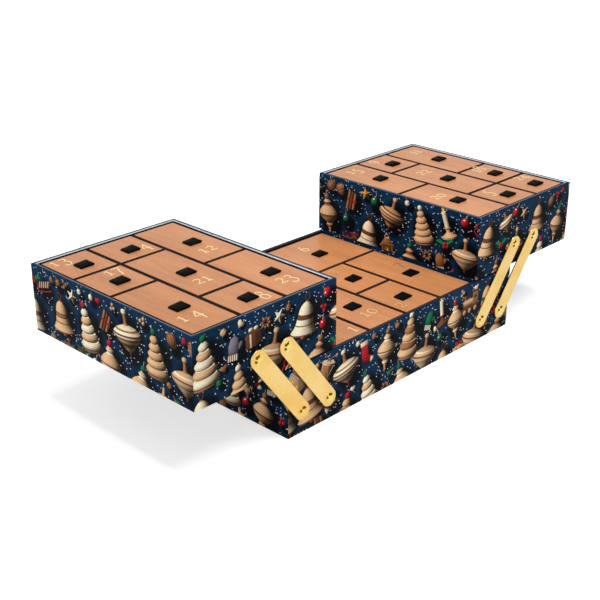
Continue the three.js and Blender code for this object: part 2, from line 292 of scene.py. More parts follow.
def add_piece(name, points, faces, materials, indices=None, smooth=False):
    """A mesh object from points in metres in the frame's coordinates."""
    mesh = bpy.data.meshes.new(name)
    mesh.from_pydata([tuple(p) for p in points], [], faces)
    for material in materials:
        mesh.materials.append(material)
    if indices:
        mesh.polygons.foreach_set("material_index", indices)
    if smooth:
        mesh.polygons.foreach_set("use_smooth", [True] * len(mesh.polygons))
    mesh.validate()
    return add_object(name, mesh)


def face_outwards(piece):
    cage = bmesh.new()
    cage.from_mesh(piece.data)
    bmesh.ops.recalc_face_normals(cage, faces=cage.faces)
    cage.to_mesh(piece.data)
    cage.free()


CORNER_STEPS = 3
LEAST_RADIUS = 1e-5  # so that no two points of a ring fall together


def rounded_rectangle(low, high, inset, radius, z):
    """A ring of points round a rectangle with rounded corners, anticlockwise from above."""
    radius = max(radius, LEAST_RADIUS)
    x0, x1 = low.x + inset + radius, high.x - inset - radius
    y0, y1 = low.y + inset + radius, high.y - inset - radius
    corners = ((x1, y0, -90), (x1, y1, 0), (x0, y1, 90), (x0, y0, 180))
    ring = []
    for x, y, start in corners:
        for step in range(CORNER_STEPS + 1):
            angle = math.radians(start + 90 * step / CORNER_STEPS)
            ring.append((x + radius * math.cos(angle), y + radius * math.sin(angle), z))
    return ring


def skinned(rings, kinds):
    """Joins rings of equal length into a closed skin. kinds gives the material of each band between rings."""
    count = len(rings[0])
    points = [point for ring in rings for point in ring]
    faces, indices = [], []
    for band, kind in enumerate(kinds):
        for i in range(count):
            j = (i + 1) % count
            low, high = band * count, (band + 1) * count
            faces.append((low + i, low + j, high + j, high + i))
            indices.append(kind)
    last = (len(rings) - 1) * count
    faces += [tuple(range(count))[::-1], tuple(range(last, last + count))]
    return points, faces, [*indices, kinds[0], kinds[-1]]


def lathe(profile, centre, along, sides):
    """A body of revolution. The profile is (distance along the axis, radius) from end to end."""
    along = Vector(along)
    across = Vector((0, 0, 1))
    third = along.cross(across)
    points, faces = [], []
    for distance, radius in profile:
        for side in range(sides):
            angle = 2 * math.pi * side / sides
            spoke = across * math.cos(angle) + third * math.sin(angle)
            points.append(Vector(centre) + along * distance + spoke * max(radius, 1e-6))
    for row in range(len(profile) - 1):
        for side in range(sides):
            a, b = row * sides + side, row * sides + (side + 1) % sides
            faces.append((a, b, b + sides, a + sides))
    faces.append(tuple(range(sides))[::-1])
    faces.append(tuple(range(len(points) - sides, len(points))))
    return points, faces


# The print: flat coloured faces, drawn as turned and carved wooden things on navy


LAMP = Vector((-0.62, 0.5, 0.6)).normalized()
AMBIENT, LAMP_GAIN, LAMP_FALL = 0.04, 1.12, 1.2
WARMTH = (0.94, 1.0, 1.06)  # the power of the light on red, green and blue: shaded parts are warmer
CREAM, STRAW, OAK, WALNUT, BARK = (linear(c) for c in ("#fff0d0", "#e6bd90", "#ab7650", "#744833", "#241712"))
RED, GREEN, GOLD, FROST = (linear(c) for c in ("#cf2432", "#1c7a50", "#e0a63e", "#fbfdff"))
SLATE = linear("#8d8a98")
FLAME = linear("#ffd27a")
TIP = 0.22  # how far turned things are seen from above
SHADE_SHIFT = 4.8  # mm by which a shadow lies to the right of its motif, and below it
SHADES, SHADES_IN_LAYER = 40, 50  # shadows lie in small steps, all below the motifs
ROUND = [2 * math.pi * i / 14 for i in range(14)]


def arc(cx, cy, rx, ry, start, end, steps=8):
    """Points along an elliptical arc, angles in degrees."""
    turns = (math.radians(start + (end - start) * i / steps) for i in range(steps + 1))
    return [(cx + rx * math.cos(t), cy + ry * math.sin(t)) for t in turns]


def oblong(x0, y0, x1, y1):
    return [(x0, y0), (x1, y0), (x1, y1), (x0, y1)]


def with_headings(route):
    """The points of a route, each with the way from the point before it to the one after it."""
    for i, (x, y) in enumerate(route):
        x0, y0 = route[max(i - 1, 0)]
        x1, y1 = route[min(i + 1, len(route) - 1)]
        yield x, y, x1 - x0, y1 - y0


class Sheet:
    """Collects a wall's print in millimetres along and up the wall, each face with the ink at its corners."""

    def __init__(self, ground):
        self.points, self.faces, self.inks = [], [], []
        self.ground = ground
        self.shades = 0
        self.move(0, 0)

    def move(self, x, y, size=1.0, turn=0.0):
        self.origin, self.size, self.layer = (x, y), size, 1
        self.cos, self.sin = math.cos(turn), math.sin(turn)

    def turned(self, x, y):
        return x * self.cos - y * self.sin, x * self.sin + y * self.cos

    def lit(self, colour, normal):
        """The colour as a lamp at the upper left shows it on a surface with this normal."""
        x, y = self.turned(normal[0], normal[1])
        facing = max(0.0, Vector((x, y, normal[2])).normalized().dot(LAMP))
        light = AMBIENT + LAMP_GAIN * facing ** LAMP_FALL
        return tuple(min(1.0, c * light ** warmth) for c, warmth in zip(colour, WARMTH))

    def add(self, points, faces, inks):
        start = len(self.points)
        for x, y in points:
            x, y = self.turned(x * self.size, y * self.size)
            self.points.append((x + self.origin[0], y + self.origin[1], self.layer))
        self.faces += [tuple(start + i for i in face) for face in faces]
        self.inks += inks

    def rows(self, grid, inks, step=1):
        """Joins rows of points with quads. The next drawing lies step layers higher."""
        width = len(grid[0])
        faces = []
        for r in range(len(grid) - 1):
            for c in range(width - 1):
                a = r * width + c
                faces.append((a, a + 1, a + width + 1, a + width))
        self.add([p for row in grid for p in row], faces, [i for row in inks for i in row])
        self.layer += step

    def shaded(self, grid, colour, step=1):
        """Joins rows of points in one colour, each point given as its place and its normal."""
        inks = [[self.lit(colour, normal) for _, normal in row] for row in grid]
        self.rows([[place for place, _ in row] for row in grid], inks, step)

    def patch(self, ring, inks):
        """A flat patch with an ink at each corner."""
        self.add(ring, [tuple(range(len(ring)))], inks)
        self.layer += 1

    def lathed(self, profile, colours, x=0.0, columns=11):
        """A turned body standing up, seen a little from above: (height, radius) pairs from the foot up."""
        angles = [(c / (columns - 1) - 0.5) * math.pi * 0.98 for c in range(columns)]
        for (h0, r0), (h1, r1), colour in zip(profile, profile[1:], colours):
            slope = (r0 - r1) / max(abs(h1 - h0), 0.3)
            grid = []
            for height, radius in ((h0, r0), (h1, r1)):
                row = []
                for side, front in ((math.sin(angle), math.cos(angle)) for angle in angles):
                    place = (x + radius * side, height - TIP * radius * front)
                    row.append((place, (side * 1.1, slope * 0.8, front + 0.05)))
                grid.append(row)
            self.shaded(grid, colour, 0)
        self.layer += 1

    def lid_of(self, height, radius, colour, x=0.0):
        """The flat top of a turned body."""
        ring = [(x + radius * math.cos(a), height + TIP * radius * math.sin(a)) for a in ROUND]
        self.patch(ring, [self.lit(colour, (0.1 * math.cos(a), 0.8, 0.6)) for a in ROUND])

    def ball(self, x, y, wide, high, colour, steps=12, step=1):
        """A round or egg-shaped body, shaded all round."""
        grid = []
        for share in (0.0, 0.55, 0.85, 1.0):
            depth = math.sqrt(max(0.02, 1 - share * share))
            row = []
            for i in range(steps + 1):
                angle = 2 * math.pi * i / steps
                nx, ny = share * math.cos(angle), share * math.sin(angle)
                row.append(((x + wide * nx, y + high * ny), (nx, ny, depth)))
            grid.append(row)
        self.shaded(grid, colour, step)

    def cut_out(self, outline, colour, centre=(0, 0), swell=0.9, step=1):
        """A carved flat shape with softly rounded edges."""
        cx, cy = centre
        grid = []
        for share in (0.0, 0.62, 1.0):
            lean = swell * share ** 2
            row = []
            for dx, dy in ((x - cx, y - cy) for x, y in [*outline, outline[0]]):
                length = math.hypot(dx, dy) or 1.0
                normal = (dx / length * lean, dy / length * lean, 1.05 - 0.7 * lean)
                row.append(((cx + dx * share, cy + dy * share), normal))
            grid.append(row)
        self.shaded(grid, colour, step)

    def rod(self, route, width, colour, step=1):
        """A round rod or string along a route."""
        grid = []
        for x, y, dx, dy in with_headings(route):
            length = math.hypot(dx, dy) or 1.0
            nx, ny = -dy / length, dx / length
            row = []
            for side in (-1, -0.45, 0.45, 1):
                place = (x + nx * width / 2 * side, y + ny * width / 2 * side)
                row.append((place, (nx * side, ny * side, 1.1 - abs(side))))
            grid.append(row)
        self.shaded(grid, colour, step)

    def shadow(self, wide, high):
        """A soft dark patch on the navy, to the lower right of a motif however it is turned."""
        deep, pale = scaled(self.ground, 0.06), scaled(self.ground, 0.45)
        x, y = SHADE_SHIFT * (self.cos - self.sin), -SHADE_SHIFT * (self.cos + self.sin)
        grid, inks = [], []
        for share, ink in ((0.0, deep), (0.7, deep), (0.86, pale), (1.0, self.ground)):
            grid.append(arc(x, y, wide * share, high * share, 0, 360, 16))
            inks.append([ink] * len(grid[0]))
        self.shades = (self.shades + 1) % SHADES
        self.layer = self.shades / SHADES_IN_LAYER
        self.rows(grid, inks)
        self.layer = 1


def flame(sheet, tip, waist, foot):
    """A candle's flame, golden at its sides."""
    ring = [(0, tip), (-1.9, waist), (-1.2, foot), (1.2, foot), (1.9, waist)]
    sheet.patch(ring, [FLAME, GOLD, FLAME, FLAME, GOLD])


def draw_cone(sheet, rng):
    """A hanging pine cone: rows of scales, dark at the root and pale at the lip."""
    sheet.ball(0, 0, 12, 19, BARK)
    lip, root = rng.choice(((CREAM, WALNUT), (STRAW, BARK), (STRAW, WALNUT)))
    heights = [-18 + 4.6 * row for row in range(8)]
    for row, height in enumerate(heights):
        share = (height + 19) / 38
        reach = 13.5 * math.sin(math.pi * min(1.0, 0.16 + 0.8 * share)) ** 0.8
        count = max(2, round(reach / 3.0))
        for i in range(count):
            place = (i + 0.5 + 0.35 * (row % 2) - count / 2) / (count / 2)
            turn = max(-1.45, min(1.45, place * 1.3))
            x = reach * math.sin(turn)
            wide, lean = 4.4 * max(0.4, math.cos(turn)), 1.8 * math.sin(turn)
            shape = [(x - wide, height + 1.4), (x - wide * 0.7 + lean, height - 2.2),
                     (x + lean * 1.3, height - 3.4), (x + wide * 0.7 + lean, height - 2.2),
                     (x + wide, height + 1.4), (x, height + 4.4)]
            side = (math.sin(turn), 0.35, math.cos(turn) + 0.1)
            pale, dark = sheet.lit(lip, side), sheet.lit(root, side)
            middle = tuple(0.4 * a + 0.6 * b for a, b in zip(pale, dark))
            sheet.add(shape, [(0, 1, 2, 3, 4, 5)], [dark, middle, pale, middle, dark, scaled(dark, 0.5)])
        sheet.layer += 1
    sheet.rod([(0, 16), (0.5, 20), (0.2, 23)], 2.2, WALNUT)
    for side in (-1, 1):
        sheet.rod([(0, 17), (side * 4, 19.5), (side * 9, 18.6)], 1.2, GREEN)


def draw_bell(sheet, rng):
    """A turned wooden bell with a bead for its clapper and grooves round its waist."""
    body = rng.choice((CREAM, STRAW, STRAW))
    band = rng.choice((OAK, WALNUT, GREEN))
    sheet.ball(0.5, -18.5, 3.4, 3.4, OAK)
    profile = [(-15.5, 15), (-14, 15.6), (-12.5, 14.4), (-10, 12.2), (-7.5, 11), (-6.6, 10.7), (-2, 9.7),
               (-1, 9.5), (1.5, 9.1), (2.4, 8.9), (6, 8), (9, 6.4), (11.4, 4), (12.6, 1.8), (14, 1.6)]
    colours = [OAK, body, body, body, WALNUT, body, WALNUT, band, WALNUT, body, body, body, body, OAK]
    sheet.lathed(profile, colours)
    sheet.rod(arc(0, 17, 2.6, 3.4, -80, 260, 10), 1.3, WALNUT)


def draw_great_top(sheet, rng):
    """A large spinning top, turned and striped."""
    first, second = rng.choice(((CREAM, OAK), (STRAW, CREAM), (STRAW, WALNUT)))
    profile = [(-19, 0.4), (-15, 1.4), (-14, 3.6), (-10, 8.6), (-6, 13.2), (-3.4, 15.8), (-1.6, 17.2),
               (0, 17.6), (1.4, 17), (3.4, 14.4), (4.6, 12.2), (6, 7.4), (6.8, 3.4), (8.4, 2.3), (15, 1.9),
               (16.4, 3.2), (18.4, 3.1), (19.6, 1.2)]
    colours = [WALNUT, first, first, second, first, second, first, WALNUT, first, second, first, first,
               OAK, OAK, first, first, first]
    sheet.lathed(profile, colours)


def draw_drop(sheet, rng):
    """A hanging ornament of stacked turned beads that ends in a point."""
    body, band = rng.choice(((STRAW, OAK), (CREAM, STRAW), (STRAW, CREAM)))
    sheet.rod([(0, 22), (0.3, 26)], 0.8, STRAW)
    profile = [(-24, 0.3), (-18, 1.6), (-15, 2.6), (-13.6, 4.6), (-12, 4.8), (-11, 3.2), (-9.4, 5.2),
               (-6, 9.6), (-2.6, 12.6), (-1, 13.2), (0.4, 13.2), (3, 12.2), (6.4, 9), (9, 5.4), (10.4, 3.2),
               (11.6, 5), (13.4, 5.2), (14.6, 3.4), (16.4, 2.2)]
    colours = [body, body, band, band, body, body, body, body, band, WALNUT, body, body, body,
               band, band, band, body, body]
    sheet.lathed(profile, colours)
    sheet.ball(0, 18.4, 3.3, 3.3, rng.choice((RED, GREEN, OAK)))


def draw_rings(sheet, rng):
    """A toy of wooden rings stacked on a peg, with a ball on top."""
    first, second = rng.choice(((CREAM, STRAW), (STRAW, OAK), (CREAM, CREAM), (STRAW, STRAW)))
    sheet.lathed([(-22, 12), (-21.2, 13), (-19.6, 13)], [WALNUT, OAK])
    for row, radius in enumerate((14.5, 12.4, 10.2, 7.8, 5.4)):
        foot = -19.6 + 7 * row
        ring = [(foot, radius - 2.4), (foot + 1.4, radius - 0.6), (foot + 3.2, radius),
                (foot + 5, radius - 0.6), (foot + 6.6, radius - 2.6)]
        sheet.lathed(ring, [second if row % 2 else first] * 4)
        sheet.lid_of(foot + 6.6, radius - 2.6, first)
    sheet.ball(0, 18.4, 3.4, 3.4, rng.choice((RED, GREEN, CREAM)))


def draw_lantern(sheet, rng):
    """A wooden lantern with a lit candle in it."""
    wood = rng.choice((OAK, WALNUT, STRAW))
    sheet.patch(oblong(-8, -15, 8, 10), [BARK] * 2 + [scaled(GOLD, 0.12)] * 2)
    sheet.ball(0, -0.5, 6.5, 8.5, scaled(GOLD, 0.3))
    sheet.lathed([(-14.4, 3), (-4, 3)], [CREAM])
    flame(sheet, 5.4, 0.8, -2.6)
    for x in (-8.2, 8.2):
        sheet.rod([(x, -15), (x, 10)], 2.6, wood)
    for y, reach, thick in ((-16.4, 11, 3.4), (10, 11, 2.6)):
        sheet.rod([(-reach, y), (reach, y)], thick, wood)
    sheet.cut_out([(-10.8, 11), (10.8, 11), (4, 19), (-4, 19)], wood, (0, 14.5), 0.8)
    sheet.rod([(-4, 19.4), (4, 19.4)], 1.6, CREAM)
    sheet.rod(arc(0, 20.6, 3.2, 3.6, -30, 210, 9), 1.2, STRAW)


def draw_house(sheet, rng):
    """A little carved house in snow."""
    wall, roof = rng.choice(((STRAW, WALNUT), (OAK, BARK), (STRAW, OAK)))
    sheet.cut_out([(2, 10), (6, 11), (6, 18.6), (2, 18)], WALNUT, (4, 15), 0.6)
    sheet.cut_out([(6, -15), (14, -12), (14, 4), (6, 3)], scaled(wall, 0.45), (10, -5), 0.3)
    sheet.cut_out([(-11, -15), (6, -15), (6, 3), (-2.5, 12), (-11, 3)], wall, (-2.5, -3), 0.35)
    sheet.patch([(-5.6, -15), (-1, -15), (-1, -7), (-3.3, -5), (-5.6, -7)], [BARK] * 2 + [WALNUT] * 3)
    for x, y in ((1, -8), (-3.4, 1)):
        sheet.patch(oblong(x, y, x + 3, y + 3.4), [GOLD, GOLD, FLAME, FLAME])
    sheet.cut_out([(-2.5, 14.4), (6.6, 4), (8, 1.4), (16, 3), (7.4, 15.4)], roof, (6.5, 8.6), 0.7)
    sheet.rod([(-13, 1.4), (-2.6, 13.6), (7.4, 2.4)], 2.2, FROST)


def draw_engine(sheet, rng):
    """A wooden toy engine on three wheels."""
    boiler, cab, trim = rng.choice(((OAK, WALNUT, GREEN), (STRAW, OAK, WALNUT), (OAK, WALNUT, RED)))
    sheet.cut_out(oblong(-18, -9, 16, -4.6), WALNUT, (0, -7), 0.5)
    sheet.lathed([(4, 2.2), (9, 2.2), (10, 3.4), (12.4, 3.8)], [cab, trim, cab], -11)
    sheet.lid_of(12.4, 3.8, BARK, -11)
    sheet.ball(-3, 5.4, 3, 3.4, trim)
    sheet.rod([(-16.4, 0.6), (-15.4, 0.6), (4, 0.6)], 10, boiler)
    sheet.rod([(-15.6, 0.6), (-14.6, 0.6)], 10.6, trim)
    sheet.cut_out(oblong(3.6, -5, 14.6, 12), cab, (9, 3), 0.45)
    sheet.patch(oblong(6, 4, 12, 9.4), [BARK] * 2 + [scaled(GOLD, 0.3)] * 2)
    sheet.rod([(1.6, 13), (16.8, 13)], 2.8, trim)
    for x in (-12.4, -2, 9.4):
        sheet.ball(x, -10.6, 5, 5, WALNUT)
        sheet.ball(x, -10.6, 3.5, 3.5, STRAW)
        sheet.ball(x, -10.6, 1.2, 1.2, trim, 8)


def draw_stocking(sheet, rng):
    """A knitted stocking with a pale cuff."""
    wool = rng.choice((SLATE, OAK, SLATE, RED))
    leg = [(-6, 14), (6.4, 14), (6, -4), (10, -7), (15, -10), (14.6, -16), (9, -18.4), (0, -16.6),
           (-6, -12), (-7, -3)]
    sheet.cut_out(leg, wool, (0, -5), 0.9)
    for i in range(6):
        y = 11 - 4 * i
        sheet.rod([(-6 - 0.1 * i, y - 0.8), (0, y - 2.4), (6, y - 0.8)], 0.9, scaled(wool, 0.55), 0)
    sheet.layer += 1
    sheet.cut_out([(15, -11), (14.6, -16), (9, -18.4), (7.4, -17.6), (9.6, -11)], CREAM, (11.4, -14.6), 0.8)
    sheet.cut_out(oblong(-7.8, 11.6, 8, 18.4), CREAM, (0, 15), 0.85)
    sheet.rod(arc(-7, 21, 2, 2.6, -60, 250, 8), 1, STRAW)


def draw_top(sheet, rng):
    """A small spinning top."""
    first, second = rng.choice(((OAK, CREAM), (STRAW, GREEN), (OAK, STRAW), (CREAM, WALNUT)))
    profile = [(-13, 0.4), (-7, 5), (-3.5, 9), (-1, 12), (1, 12.4), (2.5, 11), (4, 7), (5, 2.2), (12, 1.3),
               (13, 2.2)]
    colours = [first, second, first, second, first, second, first, first, first]
    sheet.lathed(profile, colours)


def draw_drum(sheet, rng):
    """A toy drum with laced sides and two sticks."""
    side = rng.choice((OAK, WALNUT, GREEN))
    sheet.lathed([(-9, 9.8), (-7, 9.8)], [STRAW])
    sheet.lathed([(-7, 9), (6, 9)], [side])
    zigzag = [(-8 + 4 * i, (-7 if i % 2 else 4.4) - 1.2 * math.cos((i - 2) * 0.75)) for i in range(5)]
    sheet.rod(zigzag, 0.8, CREAM)
    sheet.lathed([(6, 9.8), (8, 9.8)], [STRAW])
    sheet.lid_of(8, 9.4, CREAM)
    for lean in (-1, 1):
        sheet.rod([(lean * 9, 16), (-lean * 3, 8)], 1.3, OAK)
        sheet.ball(lean * 9, 16, 1.6, 1.6, STRAW, 8)


def draw_gift(sheet, rng):
    """A small wrapped box with a ribbon and bow."""
    paper, ribbon = rng.choice(((OAK, RED), (STRAW, GREEN), (WALNUT, CREAM), (STRAW, RED)))
    sheet.cut_out([(3, -9), (10, -6), (10, 5), (3, 4)], scaled(paper, 0.4), (6, -2), 0.3)
    sheet.cut_out(oblong(-9, -9, 3, 4), paper, (-3, -3), 0.35)
    sheet.cut_out([(-9.6, 4), (3.4, 4), (11, 5.4), (-1, 8)], scaled(paper, 1.15), (1, 5.4), 0.2)
    sheet.cut_out(oblong(-4.2, -9, -2.2, 4.2), ribbon, (-3.2, -2), 0.3)
    for side in (-1, 1):
        sheet.ball(1 + side * 3.2, 8.4, 3.2, 2.1, ribbon)


def draw_acorn(sheet, rng):
    """An acorn in its scaly cup."""
    nut = rng.choice((STRAW, OAK, OAK))
    sheet.lathed([(-9, 0.6), (-8, 1.4), (-6.5, 3.6), (-3, 5.6), (1, 6)], [nut] * 4)
    sheet.lathed([(0, 6.8), (2.5, 6.9), (5, 5), (6.6, 1.5), (9.4, 1)], [WALNUT, WALNUT, WALNUT, BARK])
    for row, height in enumerate((0.6, 2.4, 4.0)):
        for i in range(-2, 3):
            x = (i + 0.5 * (row % 2)) * 2.3 * (1 - 0.12 * row)
            sheet.ball(x, height - 0.6, 0.9, 0.9, STRAW, 6, 0)
    sheet.layer += 1


def draw_star(sheet, rng):
    """A carved five-pointed star with ridged arms."""
    wood = rng.choice((CREAM, STRAW, OAK, GOLD))
    outer, inner = 10.5, 4.6
    for i in range(10):
        angles = [math.radians(90 + 36 * (i + k)) for k in (0, 1)]
        reach = (outer, inner) if i % 2 == 0 else (inner, outer)
        corners = [(r * math.cos(a), r * math.sin(a)) for r, a in zip(reach, angles)]
        middle = sum(angles) / 2 + (0.55 if i % 2 == 0 else -0.55)
        ink = sheet.lit(wood, (math.cos(middle), math.sin(middle), 0.7))
        sheet.add([(0, 0), *corners], [(0, 1, 2)], [ink] * 3)
    sheet.layer += 1


def draw_heart(sheet, rng):
    """A small heart."""
    wood = rng.choice((RED, OAK, CREAM))
    outline = []
    for i in range(20):
        t = 2 * math.pi * i / 20
        x = 16 * math.sin(t) ** 3
        y = 13 * math.cos(t) - 5 * math.cos(2 * t) - 2 * math.cos(3 * t) - math.cos(4 * t)
        outline.append((-x * 0.42, y * 0.42))
    sheet.cut_out(outline, wood, (0, 0.5), 1.0)


def draw_holly(sheet, rng):
    """Two holly leaves and three berries."""
    for side in (-1, 1):
        spine = [(side * (1 + 10 * i / 8), 5 * i / 8) for i in range(9)]
        for half in (-1, 1):
            edge = []
            for i, (x, y) in enumerate(spine):
                width = 3.8 * math.sin(math.pi * i / 8) ** 0.6 * (1.15 if i % 2 else 0.7)
                edge.append((x - side * half * width * 0.35, y + half * width))
            ink = sheet.lit(scaled(GREEN, 1.25 if half > 0 else 0.7), (0, half * 0.5, 0.9))
            sheet.rows([spine, edge], [[ink] * 9, [scaled(ink, 0.7)] * 9])
    for x, y in ((-1.8, -1.6), (2, -1.2), (0, 1.6)):
        sheet.ball(x, y, 2.2, 2.2, RED, 10)


def draw_walnut(sheet, rng):
    """A walnut in its ridged shell."""
    sheet.ball(0, 0, 6, 7, rng.choice((STRAW, OAK)))
    for bend in (-0.8, 0, 0.8):
        route = [(bend * 5 * math.cos(t), 6.6 * math.sin(t)) for t in (-1.4, -0.9, -0.3, 0.3, 0.9, 1.4)]
        sheet.rod(route, 0.7, WALNUT, 0)
    sheet.layer += 1


def draw_anise(sheet, rng):
    """A star of anise: eight boat-shaped pods with a seed in each."""
    for i in range(8):
        turn = math.radians(45 * i + 8)
        ux, uy = math.cos(turn), math.sin(turn)
        outline = [(x * ux - y * uy, x * uy + y * ux) for x, y in ((1, 0), (4, -1.7), (8, 0.2), (4, 1.7))]
        sheet.cut_out(outline, WALNUT if i % 2 else OAK, (4.2 * ux, 4.2 * uy), 0.9, 0)
    sheet.layer += 1
    for i in range(8):
        turn = math.radians(45 * i + 8)
        sheet.ball(4.2 * math.cos(turn), 4.2 * math.sin(turn), 0.9, 0.9, STRAW, 6, 0)
    sheet.layer += 1


def draw_cinnamon(sheet, rng):
    """A bundle of cinnamon sticks tied with red string."""
    for i, x in enumerate((-3.9, 0.1, 4.0)):
        low, high = -12 + 1.2 * i, 11 - 0.9 * i
        sheet.rod([(x, low), (x, high)], 3.8, (OAK, WALNUT, OAK)[i])
        sheet.ball(x, high, 1.9, 1, BARK, 8)
    for y in (-1.1, 0.6):
        sheet.rod([(-6.4, y), (0, y - 0.9), (6.4, y)], 1.2, RED)


def draw_mitten(sheet, rng):
    """A knitted mitten with a ribbed cuff."""
    wool = rng.choice((OAK, SLATE, GREEN, WALNUT))
    hand = [(-5, -5), (5, -5), (5.6, 3), (4.6, 8.5), (0.6, 11.5), (-3.6, 9), (-5.4, 3)]
    thumb = [(4.6, -2.5), (9.4, 1.5), (9.8, 5), (7.4, 5.6), (4.8, 2.6)]
    sheet.cut_out(thumb, wool, (7, 2), 0.9)
    sheet.cut_out(hand, wool, (0, 2), 0.9)
    for i in range(5):
        sheet.rod([(-4.2 + 2.1 * i, -10), (-4.2 + 2.1 * i, -4.6)], 2.2, scaled(CREAM, 0.92), 0)
    sheet.layer += 1


def draw_candle(sheet, rng):
    """A candle in a turned holder."""
    wood = rng.choice((OAK, WALNUT, STRAW))
    sheet.lathed([(-4, 3.2), (13, 3.2)], [CREAM])
    sheet.lid_of(13, 3.2, CREAM)
    flame(sheet, 20, 16.4, 14)
    profile = [(-15, 10), (-13, 10.4), (-11.5, 7), (-9, 3), (-6, 2.6), (-4.5, 5.4), (-3, 5.6)]
    sheet.lathed(profile, [wood] * 6)


def draw_sled(sheet, rng):
    """A slatted sled on two curled runners."""
    wood = rng.choice((OAK, STRAW))
    for y in (2.4, -4):
        curl = arc(-8, y + 2.6, 3.4, 3.6, 255, 120, 6)
        sheet.rod([(12, y - 1), (2, y - 1.6), (-7, y - 1), *curl], 1.5, RED)
    for i in range(5):
        x = -5 + 3.6 * i
        sheet.rod([(x - 2.4, -1.6), (x, 4.6)], 2.6, wood)


def draw_bauble(sheet, rng):
    """A glossy glass ball with its gold cap."""
    tone = rng.choice((RED, GREEN))
    sheet.rod([(0, 4), (0.4, 9)], 0.5, STRAW)
    sheet.rod([(0, 3.6), (0, 5.4)], 2.2, GOLD)
    sheet.ball(0, 0, 4.4, 4.4, tone, 16)
    sheet.patch([(-1.6 + 0.9 * math.cos(a), 1.9 + 0.6 * math.sin(a)) for a in ROUND], [FROST] * len(ROUND))


def draw_berries(sheet, rng):
    """A sprig of small berries."""
    tone = rng.choice((RED, OAK, STRAW))
    for x, y in ((-2.2, -2), (2.2, -1.4), (0.4, 2.4)):
        sheet.rod([(x, y), (x * 0.2, 6)], 0.6, OAK)
        sheet.ball(x, y, 2.2, 2.2, tone, 10)


def draw_bead(sheet, rng):
    """A wooden bead on a short string."""
    tone = rng.choice((STRAW, OAK, CREAM, OAK, GREEN))
    sheet.rod([(0, 3), (0.4, 6.5)], 0.6, STRAW)
    sheet.lathed([(-3.4, 1.4), (-1.6, 3.4), (1.4, 3.4), (3.2, 1.4)], [tone] * 3, columns=7)


# Each size class: its drawings, the half width of the room that one takes in mm, its shadow's half width
# and height, how far it leans, how large it is drawn, and how far below the rim its middle stays
MOTIFS = (
    ((draw_bell, draw_rings, draw_great_top, draw_drop), 21, (20, 24), 0.25, 1.12, 24),
    ((draw_lantern, draw_house, draw_engine, draw_stocking, draw_candle, draw_drum, draw_top, draw_gift,
      draw_mitten, draw_cinnamon, draw_sled, draw_cone), 11.5, (14, 15), 0.4, 1.05, 16),
    ((draw_acorn, draw_bauble, draw_star, draw_holly, draw_bauble, draw_anise, draw_bauble, draw_walnut),
     7.4, (9.5, 10.5), 0.8, 1.05, 9),
    ((draw_bead, draw_berries, draw_bead, draw_heart), 5.6, (6, 6.5), 1.0, 1.0, 6),
)
CROWDING = {"base": 0.87, "left_tray": 0.93, "right_tray": 0.97}  # the share of that room that is kept
SIZE_JITTER = (0.92, 1.1)
OWN_SCALE = {draw_lantern: 0.8, draw_house: 0.86, draw_engine: 0.8, draw_stocking: 0.76, draw_cone: 0.72,
             draw_star: 0.72, draw_heart: 0.62, draw_bauble: 1.15}
ROOM_HEIGHT = 1.3  # a motif's room is this much taller than wide
EDGE_ROOM = 0.45  # the share of its room by which a motif's middle may lie beyond the wall's edge
SNOW_ROOM = 0.8  # the share of a motif's room that stays free of snow
SNOW_TURN, SNOW_LENGTH, SNOW_HEIGHT = (-1.2, 0.4), (0.55, 1.1), 0.45  # radians, and half sizes in mm
SNOW_ANGLES = (0.5, 1.57, 2.64, 3.64, 4.71, 5.78)  # a dot's six corners
SNOW_BRIGHTNESS = (0.6, 1.0)


def scattered(rng, wide, high, margin, room, taken, tries):
    """Places at random with at least their own room around them."""
    for _ in range(tries):
        x, y = rng.uniform(-margin, wide + margin), rng.uniform(-margin, high)
        if all(math.hypot(x - a, (y - b) / ROOM_HEIGHT) > room + r for a, b, r in taken):
            taken.append((x, y, room))
            yield x, y


def drawn_wall(wide, high, ground, seed, snow_gap, crowding=1.0, classes=MOTIFS):
    """The print of one wall, wide by high in mm, with the snow that falls between its motifs."""
    rng = random.Random(seed)
    sheet = Sheet(ground)
    taken = []
    for drawings, room, (shade_wide, shade_high), lean, scale, drop in classes:
        room *= crowding
        tries = int(wide * high / room)
        deck = []
        for x, y in scattered(rng, wide, high - drop, room * EDGE_ROOM, room, taken, tries):
            if not deck:
                deck = rng.sample(drawings, len(drawings))
            draw = deck.pop()
            size = scale * rng.uniform(*SIZE_JITTER) * OWN_SCALE.get(draw, 1)
            sheet.move(x, y, size, rng.uniform(-lean, lean))
            sheet.shadow(shade_wide, shade_high)
            draw(sheet, rng)
    for _ in range(int(wide * high / snow_gap ** 2)):
        x, y = rng.uniform(0, wide), rng.uniform(0, high)
        turn, length = rng.uniform(*SNOW_TURN), rng.uniform(*SNOW_LENGTH)
        if any(math.hypot(x - a, (y - b) / ROOM_HEIGHT) < r * SNOW_ROOM for a, b, r in taken):
            continue
        sheet.move(x, y, 1, turn)
        flake = [(length * math.cos(a), SNOW_HEIGHT * math.sin(a)) for a in SNOW_ANGLES]
        sheet.patch(flake, [scaled(FROST, rng.uniform(*SNOW_BRIGHTNESS))] * len(flake))
    return sheet


PRINT_LIFT = 0.05 * MM
PRINT_LAYER = 0.006 * MM
ON_EDGE = 1e-5  # mm from the cut within which a point counts as on it
BAKED_UV = "OFBake"


